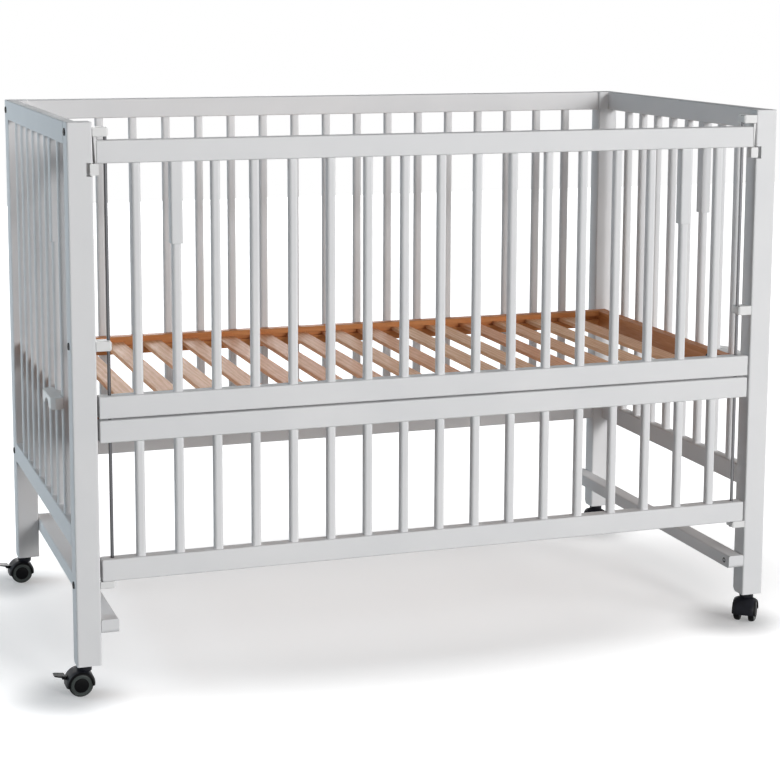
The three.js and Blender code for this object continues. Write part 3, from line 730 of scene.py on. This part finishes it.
# %% Brackets
NOSE_ROUND, BRACKET_ROUND = 5 * MM, 1 * MM
for side in OUTWARD:
    for place in ("top", "middle", "bottom"):
        node = f"{side}_{place}_rod_bracket"
        low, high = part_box(node)
        bracket = saw_block(f"{side}_{place}_clip", low, high)
        round_edges(bracket, NOSE_ROUND, 8, lies_at(X, inner_face(node, side)))
        round_edges(bracket, BRACKET_ROUND, 3, runs_along(X, longer_than=10 * MM))
        smooth(bracket)
        hang(bracket, node, moulded_white)
        print(bracket.name, [round(v / MM, 1) for v in high - low])

# %% Latches
HOOK_HEIGHT, HOOK_ROUND, HOOK_FRONT_ROUND = 18.2 * MM, 1.6 * MM, 0.5 * MM
HOOK_OUT, HOOK_SUNK = 9.3 * MM, 4.5 * MM
STRIP_INNER, STRIP_OUTER, STRIP_TAPER = 5.5 * MM, 1.3 * MM, 2.8 * MM
STRIP_WIDTH, STRIP_ROOT, STRIP_ROUND = 23 * MM, 1 * MM, 0.4 * MM


def make_latch(side, way):
    node = f"{side}_latch"
    low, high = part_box(node)
    face = inner_face(f"{side}_front_post", side)
    hook_top = low.z + HOOK_HEIGHT
    hook = saw_block(node + "_hook", (face - way * HOOK_OUT, low.y, low.z),
                     (face + way * HOOK_SUNK, high.y, hook_top))
    round_edges(hook, HOOK_ROUND, 3, runs_along(Y))
    round_edges(hook, HOOK_FRONT_ROUND, 2, lies_at(Y, low.y))
    strip_out, strip_base = face - way * STRIP_OUTER, hook_top - STRIP_ROOT
    strip = saw_block(node + "_strip", (face - way * STRIP_INNER, low.y, strip_base),
                      (strip_out, low.y + STRIP_WIDTH, high.z))
    shift_points(strip, lambda point: near(point.z, strip_base) and near(point.x, strip_out),
                 (-way * STRIP_TAPER, 0, 0))
    round_edges(strip, STRIP_ROUND, 2, anything)
    latch = glue(node + "_moulding", hook, strip)
    smooth(latch)
    hang(latch, node, moulded_white)
    print(latch.name, "reaches up to", round(high.z, 4))


for side, way in OUTWARD.items():
    make_latch(side, way)

# %% [markdown]
# ## Bolts
#
# Low round bolt heads sit on the posts' outer faces. Each has a hexagonal socket for a key. One bolt
# of each length is made along X: a disc with a softened rim, a shank pulled out of its back, and the
# socket cut by a six-sided bar. It is copied into its holes, and turned about on the other side.

# %% One bolt, made at the origin with its head towards -X
HEAD_RADIUS, HEAD, RIM_ROUND = 6 * MM, 2.2 * MM, 0.9 * MM
SHANK_RADIUS, FRAME_SHANK, CLAMP_SHANK = 3 * MM, 54 * MM, 36 * MM
SOCKET_RADIUS, SOCKET = 2.4 * MM, 3.2 * MM


def make_bolt_pattern(shank):
    bolt = round_bar("bolt_pattern", X, HEAD_RADIUS, HEAD, (-HEAD / 2, 0, 0), 32)
    inset_and_push(bolt, faces(X, 1), HEAD_RADIUS - SHANK_RADIUS, (shank, 0, 0))
    round_edges(bolt, RIM_ROUND, 4, lies_at(X, -HEAD))
    cut_away(bolt, round_bar("socket", X, SOCKET_RADIUS, SOCKET, (-HEAD, 0, 0), 6))
    smooth(bolt)
    return bolt


frame_bolt = make_bolt_pattern(FRAME_SHANK)
clamp_bolt = make_bolt_pattern(CLAMP_SHANK)
print("one bolt has", len(frame_bolt.data.polygons), "faces")

# %% Copy the bolts to their holes
FACE_ABOUT = Matrix.Rotation(math.radians(180), 4, "Z")


def set_bolt(pattern, node, points_right):
    low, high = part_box(node)
    head = low.x + HEAD if points_right else high.x - HEAD
    seat = Matrix.Translation((head, *middle_of(node).yz))
    bolt = copy_piece(pattern, node + "_socketed", seat @ (Matrix() if points_right else FACE_ABOUT))
    hang(bolt, node, blackened)


for side in OUTWARD:
    for place in ("top_bracket", "middle_bracket", "bottom_bracket", "top_rear", "bottom_rear"):
        set_bolt(frame_bolt, f"{side}_{place}_bolt", side == "left")
    set_bolt(clamp_bolt, f"{side}_clamp_bolt", side == "right")
for pattern in (frame_bolt, clamp_bolt):
    bpy.data.objects.remove(pattern)

# %% [markdown]
# ## Stretchers
#
# Near the floor a short board joins the front and rear post of each end. It is screwed to the
# posts' inner faces, and its lower corners are rounded off where a foot could catch them. The
# screws' dark heads are discs with a round recess, too small for the CAD model to hold.

# %% Stretchers
BOARD_CORNER, BOARD_ROUND = 7 * MM, 3 * MM


def make_foot_board(side):
    node = f"{side}_stretcher"
    low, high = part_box(node)
    board = saw_block(f"{side}_foot_board", low, high)
    round_edges(board, BOARD_CORNER, 6, both(runs_along(X), lies_at(Z, low.z)))
    round_edges(board, BOARD_ROUND, 4, runs_along(Y, longer_than=100 * MM))
    mark(board, "VERT", anything)
    bpy.ops.mesh.remove_doubles(threshold=0.01 * MM)
    back_to_bench()
    smooth(board)
    hang(board, node, paint)
    print(board.name, [round(v / MM, 1) for v in high - low])


# %% Their screws
SCREW_RADIUS, SCREW, SCREW_ROUND = 4.6 * MM, 1.6 * MM, 0.4 * MM
SCREW_RIM, SCREW_RECESS = 1.9 * MM, 1 * MM


def drive_screw(side, row):
    way, inner = OUTWARD[side], inner_face(f"{side}_stretcher", side)
    seat = (inner, middle_of(f"{side}_{row}_post").y, middle_of(f"{side}_stretcher").z)
    screw = round_bar(f"{side}_{row}_foot_screw", X, SCREW_RADIUS, SCREW, seat, 32)
    inset_and_push(screw, faces(X, -way), SCREW_RIM, (way * SCREW_RECESS, 0, 0))
    round_edges(screw, SCREW_ROUND, 2, lies_at(X, inner - way * SCREW / 2))
    smooth(screw)
    give_finishes(screw, blackened)
    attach(screw, "frame")
    print(screw.name, "at", [round(v, 3) for v in seat])


for side in OUTWARD:
    make_foot_board(side)
    for row in ("front", "rear"):
        drive_screw(side, row)

# %% [markdown]
# ## The slatted base
#
# The mattress lies on a beech frame with fifteen slats. The long rails have a groove along their
# inner faces, and the slats' ends sit in it. The groove is marked off with four straight cuts across
# the rail's face, and the strip between them is pushed in. Rails and slats stay pieces of their own,
# so that each board keeps its own grain.

# %% Long rails with their groove
BASE_RAIL, BASE_ROUND = 22 * MM, 2 * MM
SLAT_DROP, SLAT_THICK, SLAT_BEARING = 10 * MM, 8 * MM, 8 * MM
base_low, base_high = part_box("base_frame")
slat_top = base_high.z - SLAT_DROP
slat_base = slat_top - SLAT_THICK
rail_ends = (base_low.x + BASE_RAIL, base_high.x - BASE_RAIL)


def make_long_rail(name, low_y, facing):
    rail = saw_block(name, (base_low.x, low_y, base_low.z), (base_high.x, low_y + BASE_RAIL, base_high.z))
    level_cuts = [((0, 0, height), (0, 0, 1)) for height in (slat_base, slat_top)]
    upright_cuts = [((end, 0, 0), (1, 0, 0)) for end in rail_ends]
    for spot, direction in level_cuts + upright_cuts:
        mark(rail, "FACE", anything)
        bpy.ops.mesh.bisect(plane_co=spot, plane_no=direction)
        back_to_bench()
    mark(rail, "FACE", lambda centre, normal: normal.y * facing > 0.9 and slat_base < centre.z < slat_top
         and rail_ends[0] < centre.x < rail_ends[1])
    bpy.ops.mesh.extrude_region_move(TRANSFORM_OT_translate={"value": (0, -facing * SLAT_BEARING, 0)})
    back_to_bench()
    top_or_bottom = (base_low.z, base_high.z)
    outer = lambda a, b: near(a.z, b.z) and near(a.y, b.y) and any(near(a.z, z) for z in top_or_bottom)
    round_edges(rail, BASE_ROUND, 3, outer)
    smooth(rail)
    hang(rail, "base_frame", beech_along)
    print(rail.name, "has", len(rail.data.polygons), "faces")


make_long_rail("base_front_rail", base_low.y, 1)
make_long_rail("base_rear_rail", base_high.y - BASE_RAIL, -1)

# %% End rails
for name, near_x in (("base_left_rail", base_low.x), ("base_right_rail", rail_ends[1])):
    end_rail = saw_block(name, (near_x, base_low.y + BASE_RAIL, base_low.z),
                         (near_x + BASE_RAIL, base_high.y - BASE_RAIL, base_high.z))
    round_edges(end_rail, BASE_ROUND, 3, runs_along(Y))
    smooth(end_rail)
    hang(end_rail, "base_frame", beech_end)
print("the base is", [round(v / MM) for v in base_high - base_low], "mm")

# %% Slats
SLATS, SLAT_MARGIN = 15, 70.5 * MM
SLAT_WIDTH, SLAT_ROUND = 38 * MM, 2.4 * MM
SLAT_PLAY, SLAT_AIR = 0.5 * MM, 0.1 * MM
slat_reach = SLAT_BEARING - SLAT_PLAY
slat_low_y, slat_high_y = base_low.y + BASE_RAIL - slat_reach, base_high.y - BASE_RAIL + slat_reach
slat_places = spread(SLATS, *rail_ends, SLAT_MARGIN)
slat = saw_block("base_slat_01", (slat_places[0] - SLAT_WIDTH / 2, slat_low_y, slat_base),
                 (slat_places[0] + SLAT_WIDTH / 2, slat_high_y, slat_top - SLAT_AIR))
round_edges(slat, SLAT_ROUND, 3, runs_along(Y))
smooth(slat)
slats = [slat]
for index, place in enumerate(slat_places[1:], 2):
    shift = Matrix.Translation((place - slat_places[0], 0, 0))
    slats.append(copy_piece(slat, f"base_slat_{index:02}", shift))
for slat in slats:
    hang(slat, "base_frame", beech_across)
print(len(slats), "slats with their tops at z", round(slat_top, 4))

# %% [markdown]
# ## Grips on the base
#
# A white grip outside each end clamps the base to two of the bars. It is a thick plate with slanted
# corners and an arched finger hollow on its outer side, and a tongue that reaches in between the
# bars. The hollow is cut by a round bar that is pressed flat first, which makes the low arch.

# %% The plate with its finger hollow
GRIP_PLATE, GRIP_CORNER, GRIP_ROUND = 19.2 * MM, 7 * MM, 1 * MM
ARCH_RADIUS, ARCH_RISE, ARCH_LENGTH, ARCH_MIDDLE = 19 * MM, 12 * MM, 16 * MM, 13.5 * MM


def make_grip_plate(side, way, low, high, outer):
    middle = (low + high) / 2
    inner = outer - way * GRIP_PLATE
    plate = saw_block(f"{side}_hand_grip", (inner, low.y, low.z), (outer, high.y, high.z))
    round_edges(plate, GRIP_CORNER, 1, both(runs_along(Z), lies_at(X, outer)))
    arch = round_bar("arch", X, ARCH_RADIUS, ARCH_LENGTH, (inner + way * ARCH_MIDDLE, middle.y, low.z), 40)
    mark(arch, "VERT", anything)
    flat = (1, 1, ARCH_RISE / ARCH_RADIUS)
    bpy.ops.transform.resize(value=flat, center_override=(middle.x, middle.y, low.z))
    back_to_bench()
    cut_away(plate, arch)
    # the arch's rim is made of shorter edges and stays sharp
    round_edges(plate, GRIP_ROUND, 3, lambda a, b: (a - b).length > 6 * MM)
    return plate


# %% The tongue, and both together
TONGUE_ROOT = 3 * MM
TONGUE_HALF = Vector((0, 20, 9)) * MM
for side, way in OUTWARD.items():
    node = f"{side}_base_grip"
    low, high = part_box(node)
    outer, tip = (low.x, high.x) if side == "left" else (high.x, low.x)
    plate = make_grip_plate(side, way, low, high, outer)
    middle = (low + high) / 2
    tongue = saw_block("tongue", Vector((tip, middle.y, middle.z)) - TONGUE_HALF,
                       Vector((outer - way * (GRIP_PLATE - TONGUE_ROOT), middle.y, middle.z)) + TONGUE_HALF)
    grip = glue(f"{side}_hand_grip", plate, tongue)
    smooth(grip)
    hang(grip, node, moulded_white)
    print(grip.name, [round(v / MM, 1) for v in high - low])

# %% [markdown]
# ## Castors
#
# Each castor is a hooded block on a swivelling stem, with two wheels beside a web. Such rounded
# parts are turned shapes: an outline is drawn point by point and spun about the axle. They are made
# once at the origin, trailing towards -X, and then copied under each post, turned as they stand. A
# spun shape has doubled points where it closes and may come out inside out. So its doubles are
# merged, and after that its faces are turned outwards. A piece of two finishes gets them before it
# is glued, because joining keeps a face's choice only where the finish is already there.

# %% Turn an outline about an axis
def turn(name, outline, centre, axis, start=0, degrees=360, steps=32):
    """Spins points (radius, distance along the axis) about an axle along Y or a stem along Z."""
    axle = Vector((0, 1, 0)) if axis == Y else Vector((0, 0, 1))
    angle = math.radians(start)
    outward = Vector((math.cos(angle), 0, math.sin(angle))) if axis == Y else Vector((1, 0, 0))
    spots = [Vector(centre) + (outward * radius + axle * along) * MM for radius, along in outline]
    clear()
    bpy.ops.mesh.primitive_plane_add(size=1 * MM, location=spots[0])
    piece = settle(name)
    mark(piece, "VERT", anything)
    bpy.ops.mesh.merge(type="CENTER")
    for before, after in zip(spots, spots[1:]):
        bpy.ops.mesh.extrude_region_move(TRANSFORM_OT_translate={"value": after - before})
    bpy.ops.mesh.select_all(action="SELECT")
    bpy.ops.mesh.spin(steps=steps, angle=math.radians(degrees), center=centre, axis=axle)
    bpy.ops.mesh.select_all(action="SELECT")
    bpy.ops.mesh.remove_doubles(threshold=0.01 * MM)
    bpy.ops.mesh.normals_make_consistent(inside=False)
    back_to_bench()
    return piece


def disc(radius, half_width):
    return [(0, -half_width), (radius, -half_width), (radius, half_width), (0, half_width)]


def fill_open_ends(piece):
    mark(piece, "EDGE", lambda a, b: False)
    bpy.ops.mesh.select_non_manifold()
    bpy.ops.mesh.edge_face_add()
    back_to_bench()


AXLE = (-14 * MM, 0, 20 * MM)


def from_axle(polygon):
    return math.hypot(polygon.center.x - AXLE[0], polygon.center.z - AXLE[2])


# %% The hood: a band over the wheels, with a painted bluish sheen on its outer face
HOOD_ARC = dict(start=-5, degrees=195, steps=40)
HOOD_CROWN = 21.2 * MM
HOOD_EDGE = [(18.6, 20.8), (20, 20.4), (21.6, 18.4), (22.9, 15.2), (23.7, 11)]
HOOD_INSIDE = [(21.2, 12.5), (20.7, 15.6), (19.6, 18), (18, 20), (18.6, 20.8)]
HOOD = ([(radius, -along) for radius, along in HOOD_EDGE] + HOOD_EDGE[::-1]
        + HOOD_INSIDE[-2::-1] + [(radius, -along) for radius, along in HOOD_INSIDE])
hood = turn("hood", HOOD, AXLE, Y, **HOOD_ARC)
fill_open_ends(hood)
# faces on the outer band take the finish with the painted bluish sheen
for polygon in hood.data.polygons:
    polygon.material_index = 1 if from_axle(polygon) > HOOD_CROWN else 0
give_finishes(hood, castor_black, castor_hood_painted_sheen)
print("hood", len(hood.data.polygons), "faces")

# %% The web between the wheels, the neck and the stem
web = turn("web", disc(21.5, 6.5), AXLE, Y, **HOOD_ARC)
fill_open_ends(web)
hub = turn("hub", disc(10, 6.5), AXLE, Y)
NECK = [(0, 40), (12.5, 40), (12.5, 48.9), (11.8, 49.6), (0, 49.6)]
neck = turn("neck", NECK, (-6.5 * MM, 0, 0), Z)
STEM = [(0, 45), (5, 45), (5, 84.6), (3.6, 86), (0, 86)]
stem = turn("stem", STEM, (0, 0, 0), Z)
housing = glue("castor_housing_pattern", hood, web, hub, neck, stem)
smooth(housing, 40)
print("housing", len(housing.data.polygons), "faces")

# %% The wheels: a black hub and tread, with a grey ring on the disc
WHEEL = [(0, 8), (17.5, 8), (19.2, 8.4), (20, 9.8), (20, 13.6), (19.8, 15), (19.2, 16.6), (18.2, 17.9),
         (16.8, 18.8), (15.9, 19.1), (15.5, 18.8), (11.9, 18.8), (11.4, 19.5), (10.4, 20.2), (4, 20.5),
         (0, 20.5)]
RING_INSIDE, RING_OUTSIDE, DISC_FACE = 11.8 * MM, 17.6 * MM, 18 * MM
TREAD, RING, HUB = range(3)
wheel = turn("wheel", WHEEL, AXLE, Y, steps=48)
for polygon in wheel.data.polygons:
    polygon.material_index = TREAD
    if polygon.center.y > DISC_FACE and from_axle(polygon) < RING_OUTSIDE:
        polygon.material_index = RING if from_axle(polygon) > RING_INSIDE else HUB
give_finishes(wheel, castor_tread, castor_grey, castor_black)
mirrored = copy_piece(wheel, "far_wheel", Matrix.Translation((2 * AXLE[0], 0, 0)) @ FACE_ABOUT)
axle_pin = turn("axle_pin", disc(3, 9.5), AXLE, Y, steps=24)
wheels = glue("castor_wheels_pattern", wheel, mirrored, axle_pin)
smooth(wheels, 40)
print("wheels", len(wheels.data.polygons), "faces")

# %% The brake pedal: an arm, a paddle that curls up, and the pin they turn on
arm = saw_block("pedal_arm", Vector((-43, -5, 26.5)) * MM, Vector((-29, 5, 32.5)) * MM)
shift_points(arm, lambda point: point.x < -35 * MM, (0, 0, 2 * MM))
round_edges(arm, 0.8 * MM, 3, anything)
PADDLE_BASE, PADDLE_TOP, PADDLE_CURL = 31.5 * MM, 35 * MM, -50 * MM
paddle = saw_block("pedal_paddle", (-56.4 * MM, -10 * MM, PADDLE_BASE), (-38 * MM, 10 * MM, PADDLE_TOP))
for height, lift in ((PADDLE_BASE, 4.3 * MM), (PADDLE_TOP, 2.2 * MM)):
    shift_points(paddle, lambda point: point.x < PADDLE_CURL and near(point.z, height), (0, 0, lift))
round_edges(paddle, 4 * MM, 5, lambda a, b: runs_along(Z)(a, b) and a.x < PADDLE_CURL)
round_edges(paddle, 0.5 * MM, 2, lambda a, b: (a - b).length > 1 * MM or a.x < PADDLE_CURL)
pin = round_bar("pedal_pin", Y, 1.5 * MM, 13 * MM, Vector((-31, 0, 29)) * MM, 20)
pedal = glue("brake_pedal_pattern", arm, paddle, pin)
smooth(pedal)
print("pedal", len(pedal.data.polygons), "faces")

# %% Copy the castors under the posts
RIGHT_CASTOR_TURN = math.radians(50)
for side, row in CORNERS:
    name = f"{side}_{row}"
    stand = Matrix.Translation((*middle_of(name + "_post").xy, 0))
    if side == "right":
        stand = stand @ Matrix.Rotation(RIGHT_CASTOR_TURN, 4, "Z")
    hang(copy_piece(housing, name + "_hooded_castor", stand), name + "_castor_housing",
         castor_black, castor_hood_painted_sheen)
    hang(copy_piece(wheels, name + "_twin_wheels", stand), name + "_castor_wheels",
         castor_tread, castor_grey, castor_black)
    if side == "left":
        hang(copy_piece(pedal, name + "_pedal", stand), name + "_brake_pedal", castor_black)
for pattern in (housing, wheels, pedal):
    bpy.data.objects.remove(pattern)

# %% [markdown]
# ## Floor, background and light
#
# A catalogue photo stands on white paper: only the soft shadow shows where the floor is. The floor
# here is a large sheet. Seen by the camera it turns to plain white away from the crib, and so does
# the world behind it, while the lamps and the sky keep their own level for the crib itself. Glossy
# and transmitted rays see the same white, so that metal mirrors the room that the camera sees.

# %% The sheet of paper
clear()
bpy.ops.mesh.primitive_plane_add(size=14, location=(0, 0, 0))
floor = settle("paper_floor")

paper = bpy.data.materials.new("white_paper")
paper.use_nodes = True
tree = paper.node_tree
matt = tree.nodes["Principled BSDF"]
dial(matt, Roughness=0.9, Specular_IOR_Level=0.1, Emission_Color=(1, 1, 1, 1))
give_finishes(floor, paper)


def rays_that_see_white(tree, row):
    """1 for camera, glossy and transmission rays, else 0."""
    seen = add_node(tree, "ShaderNodeLightPath", -5, row)
    glossy = add_node(tree, "ShaderNodeMath", -4, row, operation="MAXIMUM")
    through = add_node(tree, "ShaderNodeMath", -3, row, operation="MAXIMUM")
    connect(tree, (seen.outputs["Is Camera Ray"], glossy.inputs[0]),
            (seen.outputs["Is Glossy Ray"], glossy.inputs[1]),
            (glossy.outputs[0], through.inputs[0]),
            (seen.outputs["Is Transmission Ray"], through.inputs[1]))
    return through.outputs[0]


white_rays = rays_that_see_white(tree, 0)
paper_tone = mix_colours(tree, white_rays, (0.5, 0.5, 0.5), (0.72, 0.72, 0.725), -1, 0)
connect(tree, (paper_tone, matt.inputs["Base Color"]))
print("the sheet measures", [round(v) for v in floor.dimensions[:2]], "m")

# %% [markdown]
# The sheet's own glow is what makes it white. It is weakest in an oval under the crib, where the shadow
# shows, and it is dimmed further close to each castor, which paints a shadow where paper and rubber touch.
# The four feet are alike, so the place is folded into one quarter, and one distance serves all four. The
# castors trail to the left, and their painted shadow is slid with them.

# %% A pool of shade under the crib
OVAL_SQUASH, OVAL_END = 0.52, 0.62
place = add_node(tree, "ShaderNodeTexCoord", -5, 2)
oval = add_node(tree, "ShaderNodeMapping", -4, 2)
dial(oval, Scale=(OVAL_SQUASH, 1, 1))
reach = add_node(tree, "ShaderNodeVectorMath", -3, 2, operation="LENGTH")
fade = add_node(tree, "ShaderNodeMapRange", -2, 2, interpolation_type="SMOOTHSTEP")
dial(fade, From_Min=0.3, From_Max=OVAL_END, To_Min=0.39)
connect(tree, (place.outputs["Object"], oval.inputs["Vector"]),
        (oval.outputs["Vector"], reach.inputs[0]),
        (reach.outputs["Value"], fade.inputs["Value"]))
print("the shade ends", round(OVAL_END / OVAL_SQUASH, 2), "m from the middle")

# %% Painted shadow at the castors
FOOT_PLACE = (0.605, 0.32, 0)
slid = add_node(tree, "ShaderNodeMapping", -5, 4)
dial(slid, Location=(0.025, 0, 0))
folded = add_node(tree, "ShaderNodeVectorMath", -4, 4, operation="ABSOLUTE")
from_foot = add_node(tree, "ShaderNodeVectorMath", -3, 4, operation="DISTANCE")
from_foot.inputs[1].default_value = FOOT_PLACE
# a painted shadow: the glow is lowered close to each foot, whatever the lamps do
painted_castor_shadow = add_node(tree, "ShaderNodeMapRange", -2, 4, interpolation_type="SMOOTHSTEP")
dial(painted_castor_shadow, From_Min=0.02, From_Max=0.13, To_Min=0.35)
dimmed = add_node(tree, "ShaderNodeMath", -1, 3, operation="MULTIPLY")
glow = add_node(tree, "ShaderNodeMath", -1, 2, operation="MULTIPLY")
connect(tree, (place.outputs["Object"], slid.inputs["Vector"]),
        (slid.outputs["Vector"], folded.inputs[0]),
        (folded.outputs["Vector"], from_foot.inputs[0]),
        (from_foot.outputs["Value"], painted_castor_shadow.inputs["Value"]),
        (fade.outputs["Result"], dimmed.inputs[0]),
        (painted_castor_shadow.outputs["Result"], dimmed.inputs[1]),
        (white_rays, glow.inputs[0]),
        (dimmed.outputs[0], glow.inputs[1]),
        (glow.outputs[0], matt.inputs["Emission Strength"]))
print("paper has", len(tree.nodes), "nodes")

# %% The sky
world = bpy.data.worlds.new("soft_room")
bpy.context.scene.world = world
world.use_nodes = True
tree = world.node_tree
sky = tree.nodes["Background"]
dial(sky, Color=(0.96, 0.98, 1, 1), Strength=0.02)
white = add_node(tree, "ShaderNodeBackground", 0, 2)
dial(white, Color=(1, 1, 1, 1), Strength=1)
blend = add_node(tree, "ShaderNodeMixShader", 2, 0)
connect(tree, (rays_that_see_white(tree, 3), blend.inputs["Fac"]),
        (sky.outputs["Background"], blend.inputs[1]),
        (white.outputs["Background"], blend.inputs[2]),
        (blend.outputs["Shader"], tree.nodes["World Output"].inputs["Surface"]))
print("sky strength", round(sky.inputs["Strength"].default_value, 3))

# %% [markdown]
# The lamps stand low and far off, so that upright faces get more light than the tops of the rails.
# The key comes from the front and a little from the right. The end on the left stays in the shade,
# with a faint cool light from a window. Three fills keep the sides and the back from going dark.


# %% The lamps
def set_lamp(name, place, size, watts, colour=(1, 1, 1), aim=(0, 0, 0.45)):
    clear()
    bpy.ops.object.light_add(type="AREA", location=place)
    lamp = bpy.context.object
    lamp.name = name
    lamp.data.size = size
    lamp.data.energy = watts
    lamp.data.color = colour
    lamp.visible_camera = False
    lamp.rotation_euler = (Vector(aim) - Vector(place)).to_track_quat("-Z", "Y").to_euler()


set_lamp("key_in_front_on_the_right", (2.4, -7.6, 2.2), 1.6, 270)
set_lamp("soft_key_on_the_right", (4.6, -5.2, 2.6), 3.2, 165)
set_lamp("fill_in_front", (-0.4, -8, 2.2), 1.6, 65)
set_lamp("fill_on_the_far_right", (7, 0.8, 1.5), 3.5, 120)
set_lamp("fill_behind", (0.8, 8, 1.9), 3.4, 200)
set_lamp("window_on_the_left", (-3, 1, 1.2), 2, 42, colour=(0.8, 0.92, 1))
print(len(bpy.data.lights), "lamps")

bpy.context.scene.view_settings.view_transform = "Standard"
